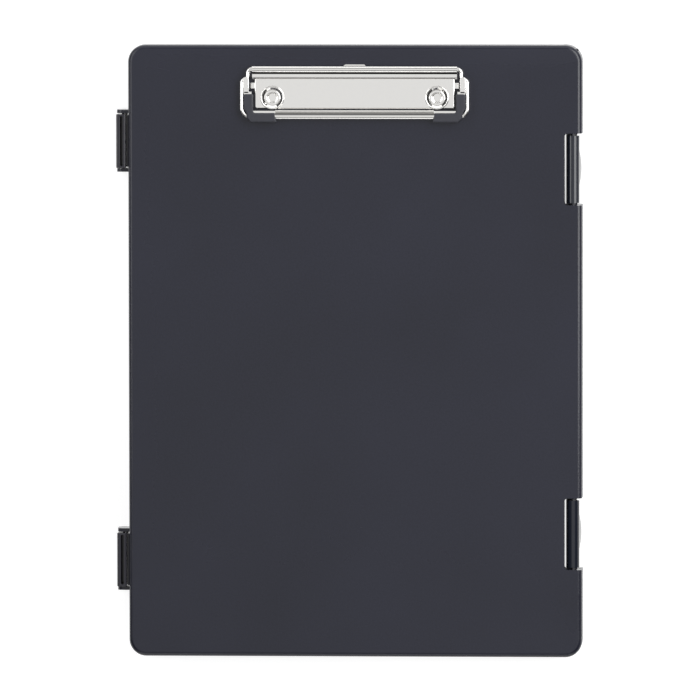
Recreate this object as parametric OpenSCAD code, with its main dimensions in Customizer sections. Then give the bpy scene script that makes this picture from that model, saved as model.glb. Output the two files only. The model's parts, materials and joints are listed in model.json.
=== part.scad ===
// Storage clipboard box: a slim side-opening case whose lid carries a low spring clip.
// Millimetres. Origin on the underside of the tray, in the middle of the case outline.
// +X is the hinge side, +Y the clip end, +Z the writing face.

/* [Case] */
// Width of the case outline, latches left out
case_w = 240; // [225:1:320]
// Length of the case outline
case_l = 324; // [312:1:420]
// Thickness of the closed case, without the clip
case_h = 20; // [18:0.5:40]
// Depth of the lid shell, from the writing face to the parting line
lid_h = 6.4; // [6:0.1:8]
// Plan radius of the case corners
corner_r = 9; // [7:0.5:16]
// Rounding of the front and back edges
edge_r = 2.6; // [1.5:0.1:3]
// Thickness of the side walls
wall = 2.2; // [1.8:0.1:2.6]
// Thickness of the tray floor
floor_t = 2; // [1.6:0.1:3]
// Thickness of the writing plate
plate_t = 2; // [1.8:0.1:2.6]
// Height of the locating lip on the tray rim
lip_h = 1.2; // [0.8:0.1:1.6]
// Thickness of the locating lip
lip_t = 1; // [0.8:0.1:1.4]

/* [Hinges] */
// Distance from the end of the case to the middle of a hinge
hinge_end = 65.5; // [50:1:90]
// Distance of the hinge axis from the edge of the case
hinge_inset = 4.7; // [4.4:0.1:6]
// Diameter of the knuckle
knuckle_d = 6.4; // [6:0.1:7]
// Length of the knuckle
knuckle_len = 35.6; // [30:0.1:44]
// Clear slit between the knuckle and the lid
knuckle_slit = 1.6; // [1.2:0.1:2]
// Radius of the inner corners of the hinge notch
notch_r = 2; // [1:0.1:3]
// Thickness of the web that carries the knuckle
web_t = 3.2; // [2.4:0.1:4]
// Height of the foot of the knuckle
foot_h = 11; // [6:0.1:11.5]
// Length of the bowed front of the foot
bow_len = 26; // [20:0.5:30]
// How far the foot bows out at its middle
bow_out = 2.2; // [1.4:0.1:2.6]
// How much less the foot bows out at its top
bow_draft = 1.2; // [0.4:0.1:1.4]
// Diameter of the hinge pins
pin_d = 2; // [1.5:0.1:2.4]
// Depth of each pin end in the lid
pin_seat = 6.5; // [4:0.1:9]

/* [Latches] */
// Distance from the end of the case to the middle of a latch
latch_end = 51; // [36:1:80]
// Length of a latch lever
latch_len = 28.4; // [20:0.2:34]
// Overall thickness of a latch lever
latch_t = 4.2; // [3.8:0.1:5]
// Gap between the lever and the side of the case
latch_clear = 2.3; // [2.1:0.1:2.8]
// Height of the latch axis above the underside
latch_axis_z = 3.2; // [3:0.1:4]
// Thickness of the ears that carry a latch
ear_t = 1.8; // [1.5:0.1:2.6]
// Diameter of the latch pins
latch_pin_d = 2; // [1.5:0.1:2.2]
// Width of the nail slot in a lever
slot_w = 1.7; // [1.2:0.1:1.8]
// Length of the nail slot in a lever
slot_len = 24; // [16:0.5:24]
// Depth of the nail slot in a lever
slot_depth = 8; // [4:0.5:9]
// Angle that a lever leans in by, from how it stands here, when it is pressed shut
snap_angle = 4.5; // [4:0.1:5]

/* [Clip] */
// Distance from the end of the case to the axis of the clip wire
clip_inset = 12.6; // [11:0.1:16]
// Length of the rolled back edge of the clip
clip_w = 108.2; // [90:0.2:130]
// How far the flat of the clip stops short of each end of the rolled edge
flat_in = 2.2; // [1.6:0.1:3.4]
// Distance from the wire axis to the front edge of the flat
flat_len = 20.9; // [18:0.1:24]
// Thickness of the clip metal
sheet_t = 0.55; // [0.5:0.05:0.7]
// Height of the flat above the writing face
clip_lift = 1; // [0.9:0.05:1.3]
// Diameter of the spring wire
wire_d = 2.2; // [1.8:0.1:2.6]
// Distance from an end of the rolled edge to the middle of the wire arm beside it
wire_out = 5.4; // [5.2:0.1:7]
// Bend radius of the wire at the front corners
wire_r = 4; // [3:0.1:6]
// Distance from the wire axis at the back to the front bar of the wire
jaw_reach = 24.8; // [22:0.1:28]
// How far the jaw bar stops short of each end of the rolled edge
jaw_in = 12.3; // [10:0.1:20]
// Width of the wing of the jaw bar behind the wire
jaw_wing = 1.7; // [1.5:0.1:2.4]
// Distance from each end of the rolled edge to the rivet beside it
rivet_end = 10.6; // [10:0.1:20]
// Distance from the wire axis to the rivets
rivet_in = 15.1; // [12:0.1:16]
// Width of the hanging tab
tab_w = 12; // [10:0.5:16]
// How far the hanging tab slides out
tab_travel = 17; // [12:0.5:18]

/* [Fits] */
// Gap between faces that meet when the case shuts
part_gap = 0.3; // [0.2:0.05:0.5]
// Running play between a pin and its bore, on the radius
play = 0.05; // [0.02:0.01:0.1]
// Air between parts that pass each other
air = 0.4; // [0.3:0.05:0.6]

/* [Hidden] */
$fn = 64;

// Colours, as the photograph shows them
charcoal = "#3f4046";
gloss_black = "#24252a";
nickel = "#d9d7d2";
steel = "#a9abb0";
rubber = "#46474c";

// Overcut that carries a hole past a face
over = 1;
// Half sizes of the outline, and the heights of the parting line
half_w = case_w / 2;
half_l = case_l / 2;
part_z = case_h - lid_h;
tray_top = part_z - part_gap;
plate_z = case_h - plate_t;
inner_r = corner_r - wall;

// Hinge axis, and the circle that the edge of the lid sweeps about it
axis_x = half_w - hinge_inset;
axis_z = case_h - knuckle_d / 2;
sweep_r = norm([hinge_inset, axis_z - part_z]);
// The hinge-side wall of the tray stands clear of that circle, and so does the low outer skirt
hinge_wall_x = axis_x - sqrt(pow(sweep_r + air, 2) - pow(axis_z - tray_top, 2));
skirt_z = axis_z - sweep_r - air;
store_x = hinge_wall_x - wall;
knuckle_end_gap = 1.15;
notch_len = knuckle_len + 2 * knuckle_end_gap;
notch_x = axis_x - knuckle_d / 2 - knuckle_slit;
hinge_y = half_l - hinge_end;
pin_len = notch_len + 2 * pin_seat;

// Knuckle foot, and the strip of floor that it stands on
foot_x0 = axis_x - knuckle_d / 2;
foot_x1 = axis_x + web_t / 2;
bow_r = (pow(bow_len / 2, 2) + pow(bow_out, 2)) / (2 * bow_out);

// Latch axis and the section of a lever, measured from that axis
latch_y = half_l - latch_end;
ear_gap = air;
lever_out = latch_clear + latch_t;
latch_axis_x = -half_w - latch_clear - 1.1;
hub_r = 2.2;
lever_x0 = -half_w - lever_out - latch_axis_x;
lever_x1 = lever_x0 + latch_t;
catch_top = part_z + 1.8;
catch_z0 = part_z + part_gap;
nose_z0 = catch_top + 2 * part_gap - latch_axis_z;
nose_z1 = nose_z0 + 1.4;
// Leaning in carries the nose over the catch, which it clears while the lever stands upright
lean = nose_z0 * sin(snap_angle);
catch_out = latch_clear - lean - part_gap;
nose_x = -half_w - catch_out - part_gap - latch_axis_x;
lever_top = nose_z1 + 0.1;
lever_edge = 0.8;
slot_wall = 1.6;
ear_out = lever_out;

// Clip heights and places
clip_y = half_l - clip_inset;
flat_z = case_h + clip_lift;
wire_r0 = wire_d / 2;
curl_in = wire_r0 + play;
curl_out = curl_in + sheet_t;
clip_z = flat_z + curl_out;
flat_y0 = clip_y - flat_len;
jaw_y = clip_y - jaw_reach;
wire_x = clip_w / 2 + wire_out;
flat_w = clip_w - 2 * flat_in;
jaw_len = clip_w - 2 * jaw_in;
jaw_z0 = case_h + part_gap;
// Reach of the rubber corners back from the front bar
pad_reach = 10.8;
rivet_y = clip_y - rivet_in;
rivet_x = clip_w / 2 - rivet_end;
neck_y = clip_y - 10.2;
// Edge of the flat, rolled down at each side
hem_z = case_h + part_gap;
hem_r = flat_z + sheet_t - hem_z;

// Angle at which the roll of the jaw bar runs into its wing
roll_end = 35;

// Bead behind the flat
bead_r = 1.2;
bead_y = clip_y - 4.1;

// Rivet seat, rivet and washer
shank_r = 3;
shank_hole = shank_r + play;
rivet_bore = 2.5;
seat_r = 4.6;
seat_rim = 5.6;
seat_ring = 0.7;
ring_rise = 0.25;
rivet_head_r = 4.2;
rivet_head_t = 0.7;
cup_t = 0.6;
washer_r = 5.6;
washer_t = 0.8;
clinch_r = 4;
clinch_t = 0.6;

// Hanging tab and the peg that stops it
tab_t = 0.7;
tab_z = case_h + (clip_lift - tab_t) / 2;
tab_show = 1.2;
peg_r = 1.1;
peg_y = clip_y - 2;
tab_slot = 5;
tab_bar = 2;
tab_back = clip_y + curl_out + tab_show;
tab_slot_y1 = tab_back - tab_bar;
tab_slot_y0 = peg_y - tab_travel - peg_r - play;
tab_front = tab_slot_y0 - 1.2;

// A flat outline with round corners
module round_rect(w, l, r) {
    union() {
        square([w - 2 * r, l], center = true);
        square([w, l - 2 * r], center = true);
        for (sx = [-1, 1], sy = [-1, 1])
            translate([sx * (w / 2 - r), sy * (l / 2 - r)]) circle(r);
    }
}

// A block with round plan corners and its lower edge rounded by e
module soft_block(w, l, h, r, e) {
    inner_w = w - 2 * e;
    inner_l = l - 2 * e;
    translate([0, 0, e]) linear_extrude(h - e) round_rect(w, l, r);
    linear_extrude(h) round_rect(inner_w, inner_l, r - e);
    for (s = [-1, 1]) {
        translate([s * inner_w / 2, 0, e]) rotate([90, 0, 0])
            cylinder(r = e, h = l - 2 * r, center = true);
        translate([0, s * inner_l / 2, e]) rotate([0, 90, 0])
            cylinder(r = e, h = w - 2 * r, center = true);
    }
    for (sx = [-1, 1], sy = [-1, 1])
        translate([sx * (w / 2 - r), sy * (l / 2 - r), e])
            rotate_extrude() translate([r - e, 0]) circle(e);
}

// A box given by its lowest and highest corners
module span(a, b) {
    translate(a) cube(b - a);
}

// A bar of round section along Y
module bar_y(r, len) {
    rotate([90, 0, 0]) cylinder(r = r, h = len, center = true);
}

// Tray: floor, walls, locating lip, hinge-side wall, low skirt, hinge pockets and latch ears

// Storage space, from the floor up, ending at the hinge-side wall
module tray_hollow() {
    width = half_w - wall + store_x;
    mid_x = (store_x - half_w + wall) / 2;
    translate([mid_x, 0, floor_t]) linear_extrude(case_h) union() {
        round_rect(width, case_l - 2 * wall, inner_r);
        translate([0, -half_l + wall]) square([width / 2, case_l - 2 * wall]);
    }
}

// Open gutter between the hinge-side wall and the skirt
module gutter(y0, y1) {
    span([hinge_wall_x, y0, floor_t], [half_w - wall, y1, case_h]);
}

// What is cut away of the tray at one hinge: the slit through the floor and the open side
module hinge_pocket(y) {
    span([hinge_wall_x, y - notch_len / 2, -over],
         [foot_x0 - over / 2, y + notch_len / 2, case_h]);
    span([hinge_wall_x, y - notch_len / 2, floor_t],
         [half_w + over, y + notch_len / 2, case_h]);
    span([foot_x1, y - notch_len / 2, -over],
         [half_w + over, y + notch_len / 2, case_h]);
}

// One ear, with its pin bore left to the tray
module ear(y) {
    round = 3;
    x0 = -half_w - ear_out;
    translate([0, y + ear_t / 2, 0]) rotate([90, 0, 0]) linear_extrude(ear_t) union() {
        translate([x0 + round, 0]) square([ear_out - round + over, tray_top]);
        translate([x0, round]) square([round, tray_top - 2 * round]);
        translate([x0 + round, tray_top - round]) circle(round);
        translate([x0 + round, round]) circle(round);
    }
}

// Locating lip on the three sides away from the hinges, on a root that joins the wall
module tray_lip() {
    lip_w = case_w - 2 * (wall + part_gap);
    lip_l = case_l - 2 * (wall + part_gap);
    root = 2 * lip_h;
    difference() {
        union() {
            translate([0, 0, tray_top - root]) linear_extrude(root)
                round_rect(case_w - wall, case_l - wall, corner_r - wall / 2);
            translate([0, 0, tray_top - root]) linear_extrude(root + lip_h)
                round_rect(lip_w, lip_l, inner_r - part_gap);
        }
        translate([0, 0, floor_t]) linear_extrude(case_h)
            round_rect(lip_w - 2 * lip_t, lip_l - 2 * lip_t, inner_r - part_gap - lip_t);
        span([store_x - over, -half_l, 0], [half_w + over, half_l, case_h]);
    }
}

module tray() {
    ear_mid = latch_len / 2 + ear_gap + ear_t / 2;
    color(charcoal) difference() {
        union() {
            difference() {
                soft_block(case_w, case_l, tray_top, corner_r, edge_r);
                tray_hollow();
                span([hinge_wall_x, -half_l - over, skirt_z],
                     [half_w + over, half_l + over, case_h]);
                gutter(-half_l + wall, -hinge_y - notch_len / 2 - wall);
                gutter(-hinge_y + notch_len / 2 + wall, hinge_y - notch_len / 2 - wall);
                gutter(hinge_y + notch_len / 2 + wall, half_l - wall);
                for (s = [-1, 1]) hinge_pocket(s * hinge_y);
            }
            tray_lip();
            for (sy = [-1, 1], se = [-1, 1]) ear(sy * latch_y + se * ear_mid);
        }
        for (sy = [-1, 1]) translate([latch_axis_x, sy * latch_y, latch_axis_z])
            bar_y(latch_pin_d / 2, latch_len + 2 * (ear_gap + ear_t) + over);
    }
}

// Lid, made as two joined pieces: the writing plate, and the rim under it with hinge bosses and catches

module lid_block() {
    translate([0, 0, case_h]) mirror([0, 0, 1]) soft_block(case_w, case_l, lid_h, corner_r, edge_r);
}

module lid_hollow() {
    width = half_w - wall + store_x;
    mid_x = (store_x - half_w + wall) / 2;
    translate([mid_x, 0, part_z - over]) linear_extrude(lid_h + 2 * over) union() {
        round_rect(width, case_l - 2 * wall, inner_r);
        translate([0, -half_l + wall]) square([width / 2, case_l - 2 * wall]);
    }
}

// Hollow between the inner rim and the outer rim on the hinge side
module rim_hollow(y0, y1) {
    span([hinge_wall_x, y0, part_z - over], [half_w - wall, y1, case_h + over]);
}

// Notch for one knuckle, through the plate and the rim
module hinge_notch(y) {
    translate([0, y, part_z - over]) linear_extrude(case_h) union() {
        translate([notch_x + notch_r, -notch_len / 2]) square([case_w, notch_len]);
        translate([notch_x, -notch_len / 2 + notch_r]) square([case_w, notch_len - 2 * notch_r]);
        for (s = [-1, 1]) translate([notch_x + notch_r, s * (notch_len / 2 - notch_r)])
            circle(notch_r);
    }
}

module lid_catch(y) {
    ramp = 0.5;
    translate([0, y + latch_len / 2 - over / 2, 0]) rotate([90, 0, 0])
        linear_extrude(latch_len - over)
            polygon([[-half_w + wall / 2, catch_z0], [-half_w - catch_out + ramp, catch_z0],
                     [-half_w - catch_out, catch_z0 + ramp], [-half_w - catch_out, catch_top],
                     [-half_w + wall / 2, catch_top]]);
}

// Bores of the hinge pins, in the bosses beside each notch
module pin_bores() {
    for (s = [-1, 1]) translate([axis_x, s * hinge_y, axis_z]) bar_y(pin_d / 2, pin_len);
}

module lid() {
    color(charcoal) difference() {
        lid_block();
        span([-case_w, -case_l, 0], [case_w, case_l, plate_z]);
        for (s = [-1, 1]) {
            hinge_notch(s * hinge_y);
            translate([s * rivet_x, rivet_y, plate_z - over])
                cylinder(r = shank_hole, h = plate_t + 2 * over);
        }
        pin_bores();
    }
}

module lid_rim() {
    boss = pin_seat + 1.5;
    color(charcoal) difference() {
        union() {
            difference() {
                lid_block();
                lid_hollow();
                rim_hollow(-half_l + wall, -hinge_y - notch_len / 2 - boss);
                rim_hollow(-hinge_y + notch_len / 2 + boss, hinge_y - notch_len / 2 - boss);
                rim_hollow(hinge_y + notch_len / 2 + boss, half_l - wall);
                for (s = [-1, 1]) hinge_notch(s * hinge_y);
            }
            for (s = [-1, 1]) {
                lid_catch(s * latch_y);
                // The inner rim closes the storage space behind each notch
                span([store_x, s * hinge_y - notch_len / 2 - wall, part_z],
                     [hinge_wall_x, s * hinge_y + notch_len / 2 + wall, case_h - plate_t / 2]);
            }
        }
        span([-case_w, -case_l, plate_z], [case_w, case_l, case_h + 2 * over]);
        pin_bores();
    }
}

// Hinge knuckles: a barrel on a web, with a tall bowed foot that stands on the tray floor

module hinge_knuckle(y) {
    color(gloss_black) translate([0, y, 0]) difference() {
        union() {
            translate([axis_x, 0, axis_z]) bar_y(knuckle_d / 2, knuckle_len);
            span([foot_x1 - web_t, -knuckle_len / 2, floor_t],
                 [foot_x1, knuckle_len / 2, axis_z - knuckle_d / 4]);
            span([foot_x0, -knuckle_len / 2, floor_t],
                 [foot_x1, knuckle_len / 2, floor_t + foot_h]);
            intersection() {
                translate([foot_x1 + bow_out - bow_r, 0, floor_t])
                    cylinder(r1 = bow_r, r2 = bow_r - bow_draft, h = foot_h, $fn = 128);
                span([foot_x0, -bow_len / 2, 0], [half_w, bow_len / 2, case_h]);
            }
        }
        translate([axis_x, 0, axis_z]) bar_y(pin_d / 2 + play, knuckle_len + 2 * over);
    }
}

module hinge_pin(y) {
    color(steel) translate([axis_x, y, axis_z]) bar_y(pin_d / 2, pin_len);
}

// Latch levers and their pins

// Section of a lever above its hub, which it starts inside
module lever_section() {
    root_z = -0.4;
    root_x = 1.4;
    polygon([[-root_x, root_z], [lever_x0, hub_r + 0.6], [lever_x0, lever_top - lever_edge],
             [lever_x0 + lever_edge, lever_top], [nose_x - 0.6, lever_top],
             [nose_x, nose_z1 - 0.5], [nose_x, nose_z0], [lever_x1, nose_z0],
             [lever_x1, hub_r - 0.3], [root_x, root_z]]);
}

module latch(y) {
    color(gloss_black) translate([latch_axis_x, y, latch_axis_z]) difference() {
        union() {
            bar_y(hub_r, latch_len);
            rotate([90, 0, 0]) linear_extrude(latch_len, center = true) lever_section();
        }
        bar_y(latch_pin_d / 2 + play, latch_len + over);
        // Nail slot, sunk from the top of the lever
        translate([lever_x0 + slot_wall, 0, lever_top - slot_depth])
        linear_extrude(slot_depth + over) union() {
            translate([0, -(slot_len - slot_w) / 2]) square([slot_w, slot_len - slot_w]);
            for (s = [-1, 1]) translate([slot_w / 2, s * (slot_len - slot_w) / 2]) circle(slot_w / 2);
        }
    }
}

module latch_pin(y) {
    color(steel) translate([latch_axis_x, y, latch_axis_z])
        bar_y(latch_pin_d / 2, latch_len + 2 * (ear_gap + ear_t));
}

// Clip plate: rolled back edge, bead, flat, two pressed rivet seats and the peg of the tab

// A plain bead across the sheet, as a half ring
module bead_section() {
    translate([bead_y, flat_z]) intersection() {
        difference() {
            circle(bead_r);
            circle(bead_r - sheet_t);
        }
        translate([-bead_r, 0]) square([2 * bead_r, bead_r]);
    }
}

module curl_section() {
    translate([clip_y, clip_z]) difference() {
        circle(curl_out);
        circle(curl_in);
        // The lip of the roll stops short of the sheet
        rotate(205) translate([0, -part_gap / 2]) square([curl_out + over, part_gap]);
    }
}

// Extrudes a profile, drawn as Y across and Z up, along X
module along_x(len) {
    rotate([90, 0, 90]) linear_extrude(len, center = true) children();
}

module rivet_seat(x) {
    translate([x, rivet_y, 0]) rotate_extrude()
        polygon([[shank_hole, case_h], [seat_r, case_h], [seat_rim, flat_z],
                 [seat_rim + seat_ring, flat_z], [seat_rim + seat_ring, flat_z + sheet_t],
                 [seat_rim + seat_ring / 2, flat_z + sheet_t + ring_rise],
                 [seat_rim - 0.2, flat_z + sheet_t], [seat_r - 0.2, case_h + sheet_t],
                 [shank_hole, case_h + sheet_t]]);
}

// Side edge of the flat, on the +X side, rolled down towards the writing face
module side_hem() {
    root = over;
    translate([flat_w / 2, neck_y, hem_z]) rotate([90, 0, 0])
        linear_extrude(neck_y - flat_y0 - hem_r) union() {
            translate([-root, hem_r - sheet_t]) square([root, sheet_t]);
            intersection() {
                difference() {
                    circle(hem_r);
                    circle(hem_r - sheet_t);
                }
                square([hem_r, hem_r]);
            }
        }
}

module clip_plate() {
    ear_x = clip_w / 2 + 0.9;
    color(nickel) difference() {
        union() {
            difference() {
                union() {
                    span([-flat_w / 2, flat_y0, flat_z], [flat_w / 2, neck_y + over, flat_z + sheet_t]);
                    side_hem();
                    mirror([1, 0, 0]) side_hem();
                    along_x(clip_w) union() {
                        translate([neck_y, flat_z]) square([bead_y - bead_r - neck_y, sheet_t]);
                        translate([bead_y + bead_r - sheet_t, flat_z])
                            square([clip_y - bead_y - bead_r + sheet_t, sheet_t]);
                        translate([bead_y - bead_r, flat_z]) square([sheet_t, sheet_t]);
                        bead_section();
                        curl_section();
                    }
                    // Side ears, folded down to the writing face
                    for (s = [-1, 1]) {
                        span([min(s * ear_x, 0), neck_y, flat_z],
                             [max(s * ear_x, 0), neck_y + 3, flat_z + sheet_t]);
                        span([s * ear_x - sheet_t / 2, neck_y, case_h],
                             [s * ear_x + sheet_t / 2, neck_y + 3, flat_z + sheet_t]);
                    }
                }
                for (s = [-1, 1]) translate([s * rivet_x, rivet_y, flat_z - over])
                    cylinder(r = seat_rim, h = clip_lift + over);
            }
            for (s = [-1, 1]) rivet_seat(s * rivet_x);
            translate([0, peg_y, case_h]) cylinder(r = peg_r, h = clip_lift + sheet_t / 2);
        }
    }
}

// Rivets and the washers behind the writing plate

module clip_rivet(x) {
    seat = case_h + sheet_t;
    back = plate_z - washer_t;
    top = seat + rivet_head_t;
    cup_z = case_h - cup_t / 2;
    color(nickel) translate([x, rivet_y, 0]) rotate_extrude()
        polygon([[0, cup_z - cup_t], [rivet_bore, cup_z - cup_t], [rivet_bore, back - clinch_t],
                 [clinch_r, back - clinch_t], [clinch_r, back], [shank_r, back], [shank_r, seat],
                 [rivet_head_r, seat], [rivet_head_r - 0.2, top - 0.3], [rivet_head_r - 0.6, top],
                 [shank_r, top], [rivet_bore, top - 0.4], [rivet_bore, cup_z], [0, cup_z]]);
}

module rivet_washer(x) {
    color(steel) translate([x, rivet_y, plate_z - washer_t]) difference() {
        cylinder(r = washer_r, h = washer_t);
        translate([0, 0, -over]) cylinder(r = shank_hole, h = washer_t + 2 * over);
    }
}

// Spring wire, jaw bar and rubber corners, which swing up together

// A stretch of wire bent about (x, y) from angle a0 through turn degrees
module wire_bend(x, y, r, a0, turn) {
    translate([x, y, clip_z]) rotate([0, 0, a0])
        rotate_extrude(angle = turn) translate([r, 0]) circle(wire_r0);
}

// Half of the wire, on the +X side: out of the rolled edge, a crank outwards, the arm and the front bar
module wire_half() {
    exit_r = 2.2;
    exit_drop = 1.8;
    tail = 16;
    exit_x = clip_w / 2 + 2 * play;
    crank_r = (wire_x - exit_x - exit_r) / 2;
    crank_x = wire_x - crank_r;
    exit_y = clip_y - exit_r;
    crank_y = exit_y - exit_drop;
    arm_y = crank_y - 2 * crank_r;
    translate([exit_x - tail, clip_y, clip_z]) rotate([0, 90, 0]) cylinder(r = wire_r0, h = tail);
    wire_bend(exit_x, exit_y, exit_r, 0, 90);
    translate([exit_x + exit_r, crank_y, clip_z]) rotate([-90, 0, 0])
        cylinder(r = wire_r0, h = exit_drop);
    wire_bend(crank_x, crank_y, crank_r, 180, 90);
    wire_bend(crank_x, arm_y, crank_r, 0, 90);
    translate([wire_x, jaw_y + wire_r, clip_z]) rotate([-90, 0, 0])
        cylinder(r = wire_r0, h = arm_y - jaw_y - wire_r);
    wire_bend(wire_x - wire_r, jaw_y + wire_r, wire_r, 270, 90);
    translate([0, jaw_y, clip_z]) rotate([0, 90, 0]) cylinder(r = wire_r0, h = wire_x - wire_r);
}

module clip_wire() {
    color(nickel) union() {
        wire_half();
        mirror([1, 0, 0]) wire_half();
    }
}

// Jaw bar: sheet rolled over the front bar of the wire, down to a foot that grips the paper
module jaw_roll() {
    r_in = wire_r0 + play;
    r_out = r_in + sheet_t;
    drop = clip_z - jaw_z0;
    foot = 1.6;
    translate([jaw_y, clip_z]) union() {
        difference() {
            circle(r_out);
            circle(r_in);
            translate([-2 * r_out, -3 * r_out]) square([4 * r_out, 3 * r_out]);
            polygon([[0, 0], 3 * r_out * [cos(roll_end), sin(roll_end)], [3 * r_out, -over], [0, -over]]);
        }
        translate([-r_out, -drop]) square([sheet_t, drop + sheet_t / 2]);
        translate([-r_out + sheet_t / 2, -drop]) square([foot, sheet_t]);
    }
}

// Wing of the jaw bar, which starts inside the roll and slopes to its back edge
module jaw_wing_section() {
    r_mid = wire_r0 + play + sheet_t / 2;
    a = r_mid * [cos(roll_end + 15), sin(roll_end + 15)];
    b = [wire_r0 + play + jaw_wing, 0.1];
    side = sheet_t / 2 * [a[1] - b[1], b[0] - a[0]] / norm(b - a);
    translate([jaw_y, clip_z]) polygon([a + side, b + side, b - side, a - side]);
}

// Bracket on the +X side: a strip from the jaw bar to the corner, and an arm over the wire,
// whose bare end lies on the crank
module jaw_bracket() {
    strip_y0 = jaw_y + wire_r0 + 3 * play;
    strip_y1 = jaw_y + wire_r0 + play + jaw_wing;
    strip_z = clip_z + 0.1;
    corner_x = wire_x - wire_r - 1.1;
    arm_z = clip_z + wire_r0 + 2 * play;
    arm_x1 = wire_x - 1.3;
    lug_x0 = wire_x - 3.8;
    lug_x1 = wire_x - 0.7;
    lug_y0 = jaw_y + pad_reach;
    lug_y1 = clip_y - 4.5;
    snip = 0.6;
    span([jaw_len / 2 - 1, strip_y0, strip_z - sheet_t / 2],
         [corner_x + 0.8, strip_y1, strip_z + sheet_t / 2]);
    span([corner_x, strip_y0, strip_z - sheet_t / 2], [corner_x + 1.2, jaw_y + wire_r + 1, arm_z + sheet_t]);
    translate([0, 0, arm_z]) linear_extrude(sheet_t)
        polygon([[corner_x, jaw_y + wire_r - 0.2], [arm_x1, jaw_y + wire_r - 0.2],
                 [arm_x1, lug_y0 - 1], [lug_x1, lug_y0], [lug_x1, lug_y1 - snip],
                 [lug_x1 - snip, lug_y1], [lug_x0 + snip, lug_y1], [lug_x0, lug_y1 - snip],
                 [lug_x0, lug_y0], [corner_x, lug_y0 - 1]]);
}

module clip_jaw() {
    slant = 1.1;
    color(nickel) union() {
        difference() {
            union() {
                along_x(jaw_len) jaw_roll();
                along_x(jaw_len) jaw_wing_section();
            }
            // Slanted ends
            for (s = [-1, 1]) translate([0, 0, case_h - over])
                linear_extrude(4 * clip_lift + 4 * over)
                    polygon([[s * jaw_len / 2, jaw_y + jaw_wing + wire_d],
                             [s * (jaw_len / 2 + over), jaw_y + jaw_wing + wire_d],
                             [s * (jaw_len / 2 + over), jaw_y - wire_d],
                             [s * (jaw_len / 2 - slant), jaw_y - wire_d]]);
        }
        jaw_bracket();
        mirror([1, 0, 0]) jaw_bracket();
    }
}

// Rubber corner on the -X side, moulded round the bend of the wire and the bracket
module clip_corner() {
    outer = wire_x - wire_r0 * 0.8;
    arm_in = flat_w / 2 + hem_r + air;
    front = jaw_y - 3.8;
    back = jaw_y + 1.5;
    end_y = jaw_y + pad_reach;
    top = clip_z + wire_r0 + 2 * play + sheet_t + part_gap;
    soft = 1.2;
    tuck = 1.6;
    difference() {
        translate([0, 0, jaw_z0]) linear_extrude(top - jaw_z0)
            polygon([[-outer, end_y - soft], [-outer + soft, end_y],
                     [-arm_in - soft, end_y], [-arm_in, end_y - soft],
                     [-arm_in, back + tuck], [-arm_in + tuck, back],
                     [-jaw_len / 2 - air, back], [-jaw_len / 2 + 1.1 - air, front],
                     [-outer + 3.9, front], [-outer + tuck, front + 2.2],
                     [-outer + tuck, front + 4.6], [-outer, front + 7.5]]);
        clip_wire_cut();
        mirror([1, 0, 0]) jaw_bracket();
    }
}

// The wire's own space, cut from the rubber so that it nests in it
module clip_wire_cut() {
    translate([-wire_x, jaw_y + wire_r, clip_z]) rotate([-90, 0, 0])
        cylinder(r = wire_r0, h = 3 * wire_r);
    mirror([1, 0, 0]) wire_bend(wire_x - wire_r, jaw_y + wire_r, wire_r, 270, 90);
    translate([-wire_x + wire_r, jaw_y, clip_z]) rotate([0, 90, 0])
        cylinder(r = wire_r0, h = 6 * wire_r);
}

// Hanging tab: a steel strip under the clip, with one long slot for the peg and the hook
module hanger_tab() {
    color(nickel) translate([0, 0, tab_z]) linear_extrude(tab_t) difference() {
        union() {
            translate([-tab_w / 2, tab_front]) square([tab_w, tab_back - 1.5 - tab_front]);
            translate([-tab_w / 2 + 1.5, tab_front]) square([tab_w - 3, tab_back - tab_front]);
            for (s = [-1, 1]) translate([s * (tab_w / 2 - 1.5), tab_back - 1.5]) circle(1.5);
        }
        translate([-tab_slot / 2, tab_slot_y0 + tab_slot / 2])
            square([tab_slot, tab_slot_y1 - tab_slot_y0 - tab_slot]);
        for (y = [tab_slot_y0 + tab_slot / 2, tab_slot_y1 - tab_slot / 2])
            translate([0, y]) circle(tab_slot / 2);
    }
}

tray();
lid();
lid_rim();
hinge_knuckle(hinge_y);  // hinge_knuckle_upper
hinge_knuckle(-hinge_y);  // hinge_knuckle_lower
hinge_pin(hinge_y);  // hinge_pin_upper
hinge_pin(-hinge_y);  // hinge_pin_lower
latch(latch_y);  // latch_upper
latch(-latch_y);  // latch_lower
latch_pin(latch_y);  // latch_pin_upper
latch_pin(-latch_y);  // latch_pin_lower
clip_plate();
clip_wire();
clip_jaw();
color(rubber) clip_corner();  // clip_corner_left
color(rubber) mirror([1, 0, 0]) clip_corner();  // clip_corner_right
clip_rivet(-rivet_x);  // clip_rivet_left
clip_rivet(rivet_x);  // clip_rivet_right
rivet_washer(-rivet_x);  // rivet_washer_left
rivet_washer(rivet_x);  // rivet_washer_right
hanger_tab();
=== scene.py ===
"""Looks of the storage clipboard box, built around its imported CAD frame."""

import json
import logging
import math
from dataclasses import dataclass
from enum import Enum, IntEnum
from typing import Callable, ClassVar

import bpy
from mathutils import Matrix, Quaternion, Vector


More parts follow.
